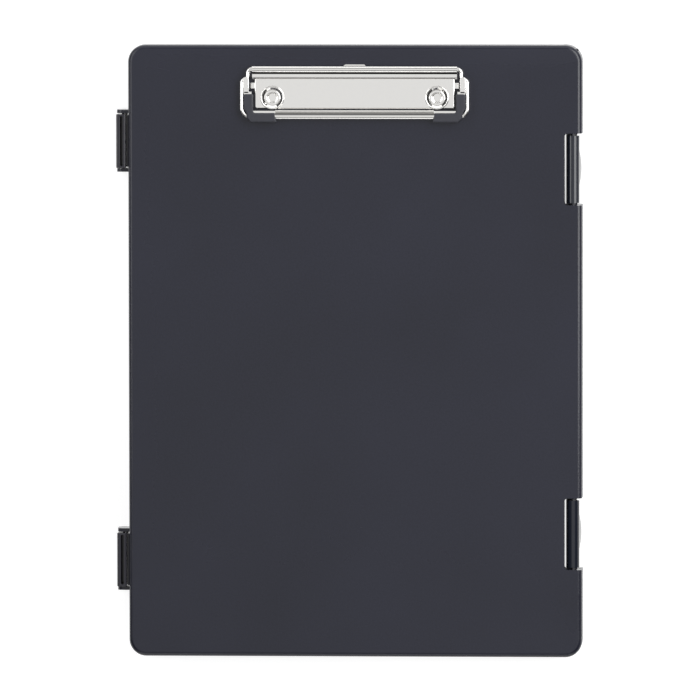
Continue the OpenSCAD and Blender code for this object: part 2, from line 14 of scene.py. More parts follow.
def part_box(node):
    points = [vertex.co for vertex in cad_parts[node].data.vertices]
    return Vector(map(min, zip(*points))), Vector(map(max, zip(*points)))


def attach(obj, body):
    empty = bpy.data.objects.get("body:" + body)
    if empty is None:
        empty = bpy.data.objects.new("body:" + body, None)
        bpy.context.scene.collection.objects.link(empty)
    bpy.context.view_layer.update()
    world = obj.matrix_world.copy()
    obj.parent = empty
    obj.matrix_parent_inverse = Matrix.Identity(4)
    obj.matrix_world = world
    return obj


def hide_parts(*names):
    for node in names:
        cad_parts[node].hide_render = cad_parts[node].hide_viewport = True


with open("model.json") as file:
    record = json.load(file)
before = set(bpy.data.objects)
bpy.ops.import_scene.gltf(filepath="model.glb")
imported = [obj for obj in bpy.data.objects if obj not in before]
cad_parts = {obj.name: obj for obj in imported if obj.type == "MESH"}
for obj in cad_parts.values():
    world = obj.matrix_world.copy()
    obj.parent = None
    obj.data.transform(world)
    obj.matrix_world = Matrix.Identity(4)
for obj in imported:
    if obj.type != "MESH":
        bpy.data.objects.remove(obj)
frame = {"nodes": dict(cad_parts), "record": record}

LOG = logging.getLogger("storage_clipboard")
MM = 0.001
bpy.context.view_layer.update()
X_AXIS, Y_AXIS, Z_AXIS = (1.0, 0.0, 0.0), (0.0, 1.0, 0.0), (0.0, 0.0, 1.0)
FLIP_X = (-1.0, 1.0, 1.0)
WHITE = (1.0, 1.0, 1.0, 1.0)
Pair = tuple[float, float]
Triple = tuple[float, float, float]
Socket = bpy.types.NodeSocket


class Slot(Enum):
    """Material slots of the record that the pieces take their finish from."""

    CASE = "case"
    HINGE = "hinge_plastic"
    LATCH = "latch_plastic"
    PIN = "pin_steel"
    NICKEL = "clip_nickel"
    RUBBER = "corner_rubber"


class Body(Enum):
    """CAD bodies that the pieces ride on."""

    TRAY = "case_tray"
    LID = "case_lid"
    UPPER_LEVER = "upper_lever"
    LOWER_LEVER = "lower_lever"
    BAIL = "clip_bail"
    HANGER = "hanger"


class End(IntEnum):
    """The two ends of the case, by the sign of their Y."""

    UPPER = 1
    LOWER = -1


class Side(IntEnum):
    """The two sides of the clip, by the sign of their X."""

    LEFT = -1
    RIGHT = 1


# Shader building


@dataclass
class Graph:
    """A small helper that adds and wires nodes in one node tree."""

    tree: bpy.types.NodeTree

    def add(self, kind: str, **values: object) -> bpy.types.Node:
        """Adds a node, sets its properties and feeds its inputs.

        Args:
            kind: The node's type name, such as ShaderNodeBump.
            values: Node properties, or sockets or values for its inputs, with underscores for spaces.

        Returns:
            The new node.
        """
        node = self.tree.nodes.new(kind)
        for key, value in values.items():
            if hasattr(node, key):
                setattr(node, key, value)
            else:
                self.feed(node.inputs[key.replace("_", " ")], value)
        return node

    def feed(self, into: Socket, value: object) -> None:
        """Links a socket into an input, or sets the input to a plain value."""
        if isinstance(value, Socket):
            self.tree.links.new(value, into)
        else:
            into.default_value = value

    def math(self, operation: str, *values: object, clamp: bool = False) -> Socket:
        """Adds a Math node and gives its result.

        Args:
            operation: The math operation.
            values: Sockets or numbers, in the node's order.
            clamp: Whether the result is kept from 0 to 1.

        Returns:
            The result socket.
        """
        node = self.add("ShaderNodeMath", operation=operation, use_clamp=clamp)
        for socket, value in zip(node.inputs, values):
            self.feed(socket, value)
        return node.outputs[0]

    def ramp(self, factor: Socket, low: float, high: float) -> Socket:
        """Maps a factor from low..high to 0..1, clamped and smooth."""
        return self.add("ShaderNodeMapRange", interpolation_type="SMOOTHSTEP", From_Min=low, From_Max=high,
                        Value=factor).outputs["Result"]


def new_group(name: str, inputs: dict[str, float | tuple], outputs: dict[str, str]) -> tuple:
    """Starts a shader node group with named sockets.

    Args:
        name: The group's name.
        inputs: Socket names and defaults: a float, an RGBA tuple, or an empty tuple for a vector.
        outputs: Socket names and their socket types.

    Returns:
        The group, its graph and the sockets that it is given.
    """
    group = bpy.data.node_groups.new(name, "ShaderNodeTree")
    for label, default in inputs.items():
        kind = "Float" if isinstance(default, float) else "Color" if default else "Vector"
        socket = group.interface.new_socket(label, in_out="INPUT", socket_type="NodeSocket" + kind)
        if default != ():
            socket.default_value = default
    for label, kind in outputs.items():
        group.interface.new_socket(label, in_out="OUTPUT", socket_type=kind)
    graph = Graph(group)
    return group, graph, graph.add("NodeGroupInput").outputs


class SharedEffects:
    """Node groups that the finishes use: grain, tone, handling marks, edge polish and a mask for painted shade
    in a crease.
    """

    def __init__(self) -> None:
        """Builds each group once."""
        self.grain = self._grain()
        self.tone = self._tone()
        self.handling = self._handling()
        self.edge = self._edge()
        self.crease_shade = self._crease_shade()

    def _grain(self) -> bpy.types.NodeTree:
        """Builds the spark-eroded grain of a moulded face.

        Returns:
            A group that puts out a height from 0 to 1.
        """
        group, g, given = new_group(
            "moulded_grain", {"Vector": (), "Scale": 1800.0}, {"Height": "NodeSocketFloat"}
        )
        cells = g.add("ShaderNodeTexVoronoi", feature="SMOOTH_F1", Smoothness=0.6, Vector=given["Vector"],
                      Scale=given["Scale"])
        fine = g.add("ShaderNodeTexNoise", Detail=3.0, Roughness=0.6, Vector=given["Vector"],
                     Scale=g.math("MULTIPLY", given["Scale"], 1.7))
        faint = g.math("MULTIPLY", fine.outputs[0], 0.45)
        g.add("NodeGroupOutput", Height=g.math("MULTIPLY_ADD", cells.outputs["Distance"], 0.6, faint))
        return group

    def _tone(self) -> bpy.types.NodeTree:
        """Builds the slow drift in a colour, and its fine mottle.

        Returns:
            A group that puts out a colour.
        """
        group, g, given = new_group(
            "tone_drift",
            {"Vector": (), "Color": (0.5, 0.5, 0.5, 1.0), "Amount": 0.1, "Mottle Scale": 900.0},
            {"Color": "NodeSocketColor"},
        )
        slow = g.add("ShaderNodeTexNoise", Scale=14.0, Detail=2.0, Vector=given["Vector"])
        fine = g.add("ShaderNodeTexNoise", Detail=2.0, Roughness=0.55, Vector=given["Vector"],
                     Scale=given["Mottle Scale"])
        both = g.math("ADD", slow.outputs[0], fine.outputs[0])
        swing = g.math("MULTIPLY", g.math("SUBTRACT", both, 1.0), given["Amount"])
        scaled = g.add("ShaderNodeVectorMath", operation="SCALE", Vector=given["Color"],
                       Scale=g.math("ADD", swing, 1.0))
        g.add("NodeGroupOutput", Color=scaled.outputs[0])
        return group

    def _handling(self) -> bpy.types.NodeTree:
        """Builds the soft smudges and hairlines that handling leaves in a gloss.

        Returns:
            A group that puts out a roughness and a hairline height.
        """
        group, g, given = new_group(
            "handling_marks",
            {"Vector": (), "Roughness": 0.4, "Smudge": 0.08, "Hairline": 0.3},
            {"Roughness": "NodeSocketFloat", "Height": "NodeSocketFloat"},
        )
        smudge = g.add("ShaderNodeTexNoise", Scale=42.0, Detail=4.0, Roughness=0.6, Distortion=0.8,
                       Vector=given["Vector"])
        stretch = g.add("ShaderNodeMapping", Scale=(2600.0, 70.0, 400.0), Rotation=(0.0, 0.0, 0.5),
                        Vector=given["Vector"])
        line = g.add("ShaderNodeTexNoise", Scale=1.0, Detail=1.0, Vector=stretch.outputs[0])
        swing = g.math("MULTIPLY", g.math("SUBTRACT", smudge.outputs[0], 0.5), given["Smudge"])
        g.add("NodeGroupOutput", Roughness=g.math("ADD", given["Roughness"], swing, clamp=True),
              Height=g.math("MULTIPLY", g.ramp(line.outputs[0], 0.62, 0.72), given["Hairline"]))
        return group

    def _edge(self) -> bpy.types.NodeTree:
        """Builds a mask of the convex edges, where handling polishes a part.

        Returns:
            A group that puts out a mask from 0 to 1.
        """
        group, g, given = new_group("edge_polish", {"Strength": 1.0}, {"Mask": "NodeSocketFloat"})
        convex = g.ramp(g.add("ShaderNodeNewGeometry").outputs["Pointiness"], 0.505, 0.53)
        g.add("NodeGroupOutput", Mask=g.math("MULTIPLY", convex, given["Strength"], clamp=True))
        return group

    def _crease_shade(self) -> bpy.types.NodeTree:
        """Builds the mask of a long crease that runs along X, where shade is painted into the colour.

        Returns:
            A group that puts out a mask from 0 to 1.
        """
        group, g, given = new_group(
            "crease_painted_shade",
            {"Vector": (), "Place": 0.0, "Half Width": 0.001, "Half Length": 0.05},
            {"Mask": "NodeSocketFloat"},
        )
        part = g.add("ShaderNodeSeparateXYZ", Vector=given["Vector"]).outputs
        off = g.math("ABSOLUTE", g.math("SUBTRACT", part["Y"], given["Place"]))
        width = g.ramp(g.math("DIVIDE", off, given["Half Width"]), 1.3, 0.7)
        inside = g.math("LESS_THAN", g.math("ABSOLUTE", part["X"]), given["Half Length"])
        g.add("NodeGroupOutput", Mask=g.math("MULTIPLY", width, inside))
        return group


@dataclass(frozen=True, kw_only=True)
class Finish:
    """What the finishes share: a colour that drifts, and a gloss that handling marks."""

    name: str
    color: Triple
    roughness: float
    tone: float = 0.08
    smudge: float = 0.08
    hairline: float = 0.1

    def start(self, effects: SharedEffects) -> tuple:
        """Starts the material with its tone and its handling marks.

        Args:
            effects: The shared node groups.

        Returns:
            The material, its graph, the shader's inputs, the coordinates, the colour and the marks.
        """
        material = bpy.data.materials.new(self.name)
        material.use_nodes = True
        g = Graph(material.node_tree)
        place = g.add("ShaderNodeTexCoord").outputs["Object"]
        tone = g.add("ShaderNodeGroup", node_tree=effects.tone, Vector=place, Color=(*self.color, 1.0),
                     Amount=self.tone)
        marks = g.add("ShaderNodeGroup", node_tree=effects.handling, Vector=place, Roughness=self.roughness,
                      Smudge=self.smudge, Hairline=self.hairline)
        shader = g.tree.nodes["Principled BSDF"]
        return material, g, shader.inputs, place, tone.outputs["Color"], marks.outputs


@dataclass(frozen=True, kw_only=True)
class PlasticFinish(Finish):
    """A moulded plastic: colour, gloss and grain."""

    grain_scale: float
    grain_depth: float
    specular: float = 0.5
    edge_gloss: float = 0.17

    def build(self, effects: SharedEffects) -> bpy.types.Material:
        """Builds the material.

        Args:
            effects: The shared node groups.

        Returns:
            The material.
        """
        material, g, shader, place, color, marks = self.start(effects)
        edge = g.add("ShaderNodeGroup", node_tree=effects.edge).outputs["Mask"]
        grain = g.add("ShaderNodeGroup", node_tree=effects.grain, Vector=place, Scale=self.grain_scale)
        bump = g.add("ShaderNodeBump", Strength=1.0, Distance=self.grain_depth,
                     Height=grain.outputs["Height"])
        g.feed(shader["Specular IOR Level"], self.specular)
        g.feed(shader["Base Color"], color)
        g.feed(shader["Roughness"], g.math("MULTIPLY_ADD", edge, -self.edge_gloss, marks["Roughness"]))
        g.feed(shader["Normal"], bump.outputs["Normal"])
        return material


@dataclass(frozen=True, kw_only=True)
class MetalFinish(Finish):
    """A plated or drawn metal, with painted shade darkening its creases.

    Each shaded crease is its place along Y, its half width and its half length along X, in metres.
    """

    hairline_depth: float
    tone: float = 0.03
    smudge: float = 0.05
    hairline: float = 1.0
    ripple_scale: float = 55.0
    ripple_depth: float = 0.0
    shaded_creases: tuple[Triple, ...] = ()
    # The dark brown painted into the creases as shade.
    painted_shade_color: Triple = (0.03, 0.022, 0.015)

    def build(self, effects: SharedEffects) -> bpy.types.Material:
        """Builds the material.

        Args:
            effects: The shared node groups.

        Returns:
            The material.
        """
        material, g, shader, place, color, marks = self.start(effects)
        ripple = g.add("ShaderNodeTexNoise", Scale=self.ripple_scale, Detail=1.0, Vector=place)
        wave = g.add("ShaderNodeBump", Strength=1.0, Distance=self.ripple_depth, Height=ripple.outputs[0])
        bump = g.add("ShaderNodeBump", Strength=1.0, Distance=self.hairline_depth, Height=marks["Height"],
                     Normal=wave.outputs["Normal"])
        # Painted shade: each crease band darkens the colour towards dark brown, standing in for the shadow in
        # the valleys beside the bead.
        for along, half_width, half_length in self.shaded_creases:
            shade_node = g.add("ShaderNodeGroup", node_tree=effects.crease_shade, Vector=place, Place=along,
                          Half_Width=half_width, Half_Length=half_length)
            blend = g.add("ShaderNodeMix", data_type="RGBA", Factor=shade_node.outputs["Mask"])
            g.feed(blend.inputs[6], color)
            g.feed(blend.inputs[7], (*self.painted_shade_color, 1.0))
            color = blend.outputs[2]
        g.feed(shader["Metallic"], 1.0)
        g.feed(shader["Base Color"], color)
        g.feed(shader["Roughness"], marks["Roughness"])
        g.feed(shader["Normal"], bump.outputs["Normal"])
        return material


FINISHES = {
    Slot.CASE: PlasticFinish(name="charcoal_grained", color=(0.0150, 0.0161, 0.0272), roughness=0.36,
                             grain_scale=1500.0, grain_depth=0.00003, tone=0.5, specular=0.4),
    Slot.HINGE: PlasticFinish(name="hinge_gloss", color=(0.011, 0.0135, 0.022), roughness=0.17,
                              grain_scale=900.0, grain_depth=0.000003, tone=0.05),
    Slot.LATCH: PlasticFinish(name="latch_satin", color=(0.014, 0.0135, 0.021), roughness=0.26,
                              grain_scale=1100.0, grain_depth=0.000006, tone=0.06),
    Slot.RUBBER: PlasticFinish(name="corner_rubber", color=(0.042, 0.043, 0.053), roughness=0.62,
                               grain_scale=2200.0, grain_depth=0.00003, specular=0.3),
    Slot.NICKEL: MetalFinish(name="bright_nickel", color=(0.86, 0.85, 0.83), roughness=0.09,
                             hairline_depth=0.0000012, ripple_depth=0.00001,
                             # Painted shade in the valley under the rolled edge and along the front foot of the
                             # bead.
                             shaded_creases=((0.14742, 0.0005, 0.054), (0.14455, 0.0002, 0.0531))),
    Slot.PIN: MetalFinish(name="blackened_steel", color=(0.05, 0.05, 0.055), roughness=0.34,
                          hairline_depth=0.000004),
}


# Mesh building


class Maker:
    """Shapes one mesh by edit-mode operators, with every place and length in millimetres."""

    def __init__(self, name: str) -> None:
        """Takes over the primitive that was just added.

        Args:
            name: The new object's name.
        """
        self.obj = bpy.context.object
        self.obj.name = name
        self.obj.data.name = name
        self.tip = self.obj.location / MM
        bpy.ops.object.transform_apply(location=True, rotation=True, scale=True)
        bpy.ops.object.mode_set(mode="EDIT")
        bpy.ops.mesh.select_mode(type="VERT")
        self.everything()

    @classmethod
    def point(cls, name: str, at: tuple) -> "Maker":
        """Starts from a single point, from which a profile is drawn.

        Args:
            name: The new object's name.
            at: The point's place.

        Returns:
            The maker, in edit mode with the point selected.
        """
        clear_selection()
        bpy.ops.mesh.primitive_plane_add(size=MM, location=Vector(at) * MM)
        maker = cls(name)
        bpy.ops.mesh.merge(type="CENTER")
        return maker

    @classmethod
    def disc(cls, name: str, at: tuple, radius: float, axis: tuple, steps: int = 32) -> "Maker":
        """Starts from a flat disc, to be pushed or turned into a bar.

        Args:
            name: The new object's name.
            at: The disc's middle.
            radius: The disc's radius.
            axis: The disc's normal.
            steps: The number of points round it.

        Returns:
            The maker, in edit mode with the disc selected.
        """
        clear_selection()
        turn = Vector(Z_AXIS).rotation_difference(Vector(axis)).to_euler()
        bpy.ops.mesh.primitive_circle_add(
            vertices=steps, radius=radius * MM, fill_type="NGON", location=Vector(at) * MM, rotation=turn
        )
        return cls(name)

    @classmethod
    def plate(cls, name: str, lo: tuple, hi: tuple, height: float, radius: float = 0.0,
              rounded: Callable[[Vector], bool] = lambda place: True, steps: int = 10) -> "Maker":
        """Makes an upright block with round plan corners.

        Args:
            name: The new object's name.
            lo: The lowest corner.
            hi: The X and Y of the far corner.
            height: How far the block is pushed along Z.
            radius: The plan radius.
            rounded: A test of which corners are rounded.
            steps: The number of faces round each corner.

        Returns:
            The maker, in edit mode.
        """
        clear_selection()
        middle = Vector(((lo[0] + hi[0]) / 2, (lo[1] + hi[1]) / 2, lo[2]))
        bpy.ops.mesh.primitive_plane_add(size=1.0, location=middle * MM)
        bpy.ops.transform.resize(value=((hi[0] - lo[0]) * MM, (hi[1] - lo[1]) * MM, 1.0))
        maker = cls(name)
        if radius:
            maker.round_corners(rounded, radius, steps)
        return maker.everything().push((0.0, 0.0, height)).outward()

    # Drawing a profile

    def line(self, *places: tuple) -> "Maker":
        """Draws straight on from the tip to each place in turn."""
        for place in places:
            step = (Vector(place) - self.tip) * MM
            bpy.ops.mesh.extrude_vertices_move(TRANSFORM_OT_translate={"value": step})
            self.tip = Vector(place)
        return self

    def arc(self, center: tuple, axis: tuple, degrees: float, steps: int = 8) -> "Maker":
        """Turns what is selected about an axis, leaving a swept edge or wall behind.

        Args:
            center: A point on the axis.
            axis: The direction of the axis.
            degrees: The angle, right-handed about the axis.
            steps: The number of steps.

        Returns:
            The maker.
        """
        bpy.ops.mesh.spin(steps=steps, dupli=False, angle=-math.radians(degrees),
                          center=Vector(center) * MM, axis=axis)
        turned = Quaternion(axis, math.radians(degrees)) @ (self.tip - Vector(center))
        self.tip = Vector(center) + turned
        return self

    def rise(self, y: float, *places: Pair) -> "Maker":
        """Draws straight on in the upright plane at y, to each X and Z in turn."""
        return self.line(*((x, y, z) for x, z in places))

    def close(self) -> "Maker":
        """Fills the drawn outline with one face."""
        self.everything()
        bpy.ops.mesh.remove_doubles(threshold=1e-6)
        bpy.ops.mesh.edge_face_add()
        return self

    def push(self, step: tuple) -> "Maker":
        """Extrudes what is selected by a step."""
        bpy.ops.mesh.extrude_region_move(TRANSFORM_OT_translate={"value": Vector(step) * MM})
        self.tip = self.tip + Vector(step)
        return self

    def revolve(self, center: tuple, steps: int = 64) -> "Maker":
        """Turns the whole drawing once round an upright axis."""
        self.everything()
        bpy.ops.mesh.spin(steps=steps, dupli=False, angle=2 * math.pi,
                          center=Vector(center) * MM, axis=Z_AXIS)
        self.everything()
        bpy.ops.mesh.remove_doubles(threshold=2e-6)
        return self.outward()

    def outward(self) -> "Maker":
        """Turns every face outwards."""
        self.edit().everything()
        bpy.ops.mesh.normals_make_consistent(inside=False)
        return self

    # Choosing by place

    def everything(self) -> "Maker":
        """Selects the whole mesh."""
        bpy.ops.mesh.select_all(action="SELECT")
        return self

    def _pick(self, kind: str, hits: Callable[[bpy.types.Mesh], list[bool]]) -> None:
        """Selects the points, edges or faces for which the list of hits holds."""
        self.edit()
        bpy.ops.mesh.select_mode(type=kind)
        bpy.ops.mesh.select_all(action="DESELECT")
        bpy.ops.object.mode_set(mode="OBJECT")
        mesh = self.obj.data
        target = {"VERT": mesh.vertices, "EDGE": mesh.edges, "FACE": mesh.polygons}[kind]
        target.foreach_set("select", hits(mesh))
        bpy.ops.object.mode_set(mode="EDIT")

    def pick_faces(self, test: Callable[[Vector, Vector], bool]) -> None:
        """Selects the faces that a test of their middle and normal picks."""
        self._pick("FACE", lambda mesh: [bool(test(f.center / MM, f.normal)) for f in mesh.polygons])

    def round_edges(self, test: Callable[[Vector, Vector], bool], radius: float, steps: int = 4) -> "Maker":
        """Rounds the edges that a test picks.

        Args:
            test: Takes the places of an edge's two ends.
            radius: The radius.
            steps: The number of faces across the rounding.

        Returns:
            The maker.
        """
        def hits(mesh: bpy.types.Mesh) -> list[bool]:
            """Tests each edge."""
            places = [point.co / MM for point in mesh.vertices]
            return [bool(test(*(places[i] for i in edge.vertices))) for edge in mesh.edges]

        self._pick("EDGE", hits)
        bpy.ops.mesh.bevel(offset=radius * MM, segments=steps, profile=0.5, affect="EDGES")
        return self

    def round_corners(self, test: Callable[[Vector], bool], radius: float, steps: int = 5) -> "Maker":
        """Rounds the corners of a flat outline that a test of their place picks."""
        self._pick("VERT", lambda mesh: [bool(test(point.co / MM)) for point in mesh.vertices])
        bpy.ops.mesh.bevel(offset=radius * MM, segments=steps, profile=0.5, affect="VERTICES")
        return self

    # Modifiers, each applied at once

    def _apply(self, kind: str, **values: object) -> "Maker":
        """Adds a modifier, sets it and applies it."""
        only(self.obj)
        modifier = self.obj.modifiers.new(kind.lower(), kind)
        for key, value in values.items():
            setattr(modifier, key, value)
        bpy.ops.object.modifier_apply(modifier=modifier.name)
        return self

    def _combine(self, other: "Maker", operation: str) -> "Maker":
        """Combines with another solid, which is used up."""
        self._apply("BOOLEAN", operation=operation, solver="EXACT", object=other.obj)
        bpy.data.objects.remove(other.obj)
        return self

    def cut(self, *others: "Maker") -> "Maker":
        """Cuts other solids away, which are used up."""
        for other in others:
            self._combine(other, "DIFFERENCE")
        return self

    def weld(self, *others: "Maker") -> "Maker":
        """Unites with other solids, which are used up."""
        for other in others:
            self._combine(other, "UNION")
        return self

    def absorb(self, *others: "Maker") -> "Maker":
        """Takes other meshes in as they are."""
        only(self.obj)
        for other in others:
            other.obj.select_set(True)
        bpy.ops.object.join()
        return self

    def thicken(self, thickness: float, side: float = 0.0) -> "Maker":
        """Gives a sheet its thickness, shared by side from -1 to 1."""
        return self._apply("SOLIDIFY", thickness=thickness * MM, offset=side, use_even_offset=True)

    def mirror(self) -> "Maker":
        """Adds the mirror image across X = 0, merged in the middle."""
        return self._apply("MIRROR", merge_threshold=2e-6)

    def soften(self, radius: float, steps: int = 2, angle: float = 38.0) -> "Maker":
        """Rounds every edge sharper than an angle, and shades the piece smoothly.

        Args:
            radius: The radius of the rounding.
            steps: The number of faces across it.
            angle: The least angle that is rounded, in degrees.

        Returns:
            The maker.
        """
        self._apply("BEVEL", width=radius * MM, segments=steps, limit_method="ANGLE",
                    angle_limit=math.radians(angle), use_clamp_overlap=True, miter_outer="MITER_ARC")
        bpy.ops.object.shade_smooth_by_angle(angle=math.radians(40.0))
        return self._apply("WEIGHTED_NORMAL", mode="FACE_AREA", weight=80, keep_sharp=True)

    def copy(self, name: str, scale: tuple = (1.0, 1.0, 1.0), shift: tuple = (0.0, 0.0, 0.0)) -> "Maker":
        """Copies the piece with its own mesh, flipped or moved.

        Args:
            name: The copy's name.
            scale: The scale about the origin, such as -1 to mirror.
            shift: How far the copy moves.

        Returns:
            The copy's maker.
        """
        only(self.obj)
        bpy.ops.object.duplicate()
        twin = bpy.context.object
        twin.scale = scale
        twin.location = Vector(shift) * MM
        maker = Maker(name)
        if scale[0] * scale[1] * scale[2] < 0:
            maker.outward()
        return maker.done()

    def edit(self) -> "Maker":
        """Enters edit mode, if the piece isn't in it."""
        if self.obj.mode != "EDIT":
            only(self.obj)
            bpy.ops.object.mode_set(mode="EDIT")
        return self

    def done(self) -> "Maker":
        """Leaves edit mode."""
        only(self.obj)
        return self


def clear_selection() -> None:
    """Leaves edit mode and deselects everything."""
    if bpy.context.object and bpy.context.object.mode == "EDIT":
        bpy.ops.object.mode_set(mode="OBJECT")
    bpy.ops.object.select_all(action="DESELECT")


def only(obj: bpy.types.Object) -> None:
    """Deselects everything, then selects one object and makes it active."""
    clear_selection()
    obj.select_set(True)
    bpy.context.view_layer.objects.active = obj


def near(a: float, b: float) -> bool:
    """Tells whether two lengths are the same to a hundredth of a millimetre."""
    return abs(a - b) < 0.01


def level(z: float) -> Callable[[Vector, Vector], bool]:
    """Gives the test of which edges lie at one height."""
    return lambda a, b: near(a.z, z) and near(b.z, z)


def box(name: str, lo: tuple, hi: tuple) -> Maker:
    """Makes a plain cutter or rib from its lowest and highest corners."""
    return Maker.plate(name, lo, hi[:2], hi[2] - lo[2])


def bar(name: str, at: tuple, radius: float, step: tuple, steps: int = 32) -> Maker:
    """Makes a round bar from its first end and its length as a step."""
    axis = Vector(step).normalized()
    return Maker.disc(name, at, radius, tuple(axis), steps).push(step).outward()


@dataclass
class Dresser:
    """Gives finished pieces their material and ties them to the frame."""

    materials: dict[Slot, bpy.types.Material]

    def coat(self, obj: bpy.types.Object, slot: Slot) -> None:
        """Gives an object the one material of its slot."""
        obj.data.materials.clear()
        obj.data.materials.append(self.materials[slot])

    def place(self, maker: Maker, body: Body, slot: Slot, *nodes: str) -> None:
        """Dresses a finished piece and ties it to the frame.

        Args:
            maker: The piece.
            body: The CAD body that it moves with.
            slot: The record's slot that it takes its finish from.
            nodes: The CAD nodes that it stands for.
        """
        piece = maker.done().obj
        self.coat(piece, slot)
        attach(piece, body.value)
        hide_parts(*nodes)
        LOG.info("%s: %d faces, rides %s", piece.name, len(piece.data.polygons), body.value)

    def both_ends(self, first: Maker, name: str, y: float, bodies: dict[End, Body], slot: Slot,
                  node: str) -> None:
        """Dresses a copy of a piece at each end of the case, in place of the piece itself.

        Args:
            first: The piece, made about Y = 0.
            name: The copies' name, before the name of the end.
            y: How far each copy stands from the middle of the case.
            bodies: The CAD body at each end.
            slot: The record's slot.
            node: The CAD nodes' name, before the name of the end.
        """
        for end in End:
            twin = first.copy(f"{name}_{end.name.lower()}", shift=(0.0, end * y, 0.0))
            self.place(twin, bodies[end], slot, f"{node}_{end.name.lower()}")
        bpy.data.objects.remove(first.obj)

    def carried_nodes(self) -> None:
        """Gives every CAD node its finish, for those that stay."""
        slots = {part["node"]: Slot(part["material_slot"]) for part in frame["record"]["subparts"]}
        for name, node in frame["nodes"].items():
            self.coat(node, slots[name])


# The case


@dataclass
class CaseShell:
    """Sizes that the tray and the lid share, in millimetres."""

    half_w: float = 120.0
    half_l: float = 162.0
    corner: float = 9.0
    edge: float = 2.6
    wall: float = 2.2
    store_x: float = 108.12
    gutter_x: float = 110.32
    hinge_x: float = 115.3
    hinge_y: float = 96.5
    notch_len: float = 37.9
    latch_y: float = 111.0
    pin_r: float = 1.0

    def soft_block(self, name: str, hard_z: float, soft_z: float) -> Maker:
        """Makes the outer block, rounded in plan and along the edge at soft_z."""
        block = Maker.plate(name, (-self.half_w, -self.half_l, hard_z), (self.half_w, self.half_l),
                            soft_z - hard_z, self.corner, steps=12)
        return block.round_edges(level(soft_z), self.edge, 8)

    def hollow(self, z0: float, z1: float) -> Maker:
        """Makes the cutter of the storage space, square on the hinge side."""
        inset = self.wall
        return Maker.plate("cutter", (-self.half_w + inset, -self.half_l + inset, z0),
                           (self.store_x, self.half_l - inset), z1 - z0, self.corner - inset,
                           lambda place: place.x < 0)

    def gutters(self, z0: float, z1: float, gap: float) -> list[Maker]:
        """Makes the cutters between the hinge-side walls, which stop a gap short of each notch."""
        stop = self.notch_len / 2 + gap
        runs = [(-self.half_l + self.wall, -self.hinge_y - stop), (-self.hinge_y + stop, self.hinge_y - stop),
                (self.hinge_y + stop, self.half_l - self.wall)]
        return [box("cutter", (self.gutter_x, y0, z0), (self.half_w - self.wall, y1, z1)) for y0, y1 in runs]


@dataclass
class LidShell(CaseShell):
    """The lid: the writing plate, its rim, the hinge notches and the two catches."""

    top_z: float = 20.0
    part_z: float = 13.6
    plate_z: float = 18.0
    notch_x: float = 110.5
    notch_r: float = 2.0
    axis_z: float = 16.8
    pin_len: float = 50.9
    catch_x: float = -120.996
    catch_z: Pair = (13.9, 15.4)
    catch_len: float = 27.4
    catch_root: float = 1.1
    catch_chamfer: float = 0.5
    rivet: Pair = (43.5, 134.3)
    rivet_hole: float = 3.05

    def notch(self, y: float) -> Maker:
        """Makes the cutter of one hinge notch, with round inner corners."""
        half = self.notch_len / 2
        return Maker.plate("cutter", (self.notch_x, y - half, self.part_z - 1), (self.half_w + 6, y + half),
                           9.0, self.notch_r, lambda place: place.x < self.hinge_x, 6)

    def catch(self, y: float) -> Maker:
        """Makes one catch ridge, chamfered below so that the lever rides over it."""
        low, high = self.catch_z
        root, chamfer = -self.half_w + self.catch_root, self.catch_chamfer
        start = y - self.catch_len / 2
        ridge = Maker.point("catch", (root, start, low))
        ridge.rise(start, (self.catch_x + chamfer, low), (self.catch_x, low + chamfer), (self.catch_x, high),
                   (root, high), (root, low))
        return ridge.close().push((0.0, self.catch_len, 0.0)).outward()

    def build(self, dresser: Dresser) -> None:
        """Makes and dresses the lid."""
        shell = self.soft_block("lid_shell", self.part_z, self.top_z)
        shell.cut(self.hollow(self.part_z - 1, self.plate_z),
                  *self.gutters(self.part_z - 1, self.plate_z, 8.0))
        for end in End:
            hinge_y = end * self.hinge_y
            shell.cut(self.notch(hinge_y))
            shell.weld(self.catch(end * self.latch_y))
            shell.cut(bar("cutter", (self.hinge_x, hinge_y - self.pin_len / 2, self.axis_z), self.pin_r,
                          (0.0, self.pin_len, 0.0), 24))
        for side in Side:
            shell.cut(bar("cutter", (side * self.rivet[0], self.rivet[1], self.plate_z - 1), self.rivet_hole,
                          (0.0, 0.0, 4.0), 48))
        dresser.place(shell.soften(0.25), Body.LID, Slot.CASE, "lid", "lid_rim")


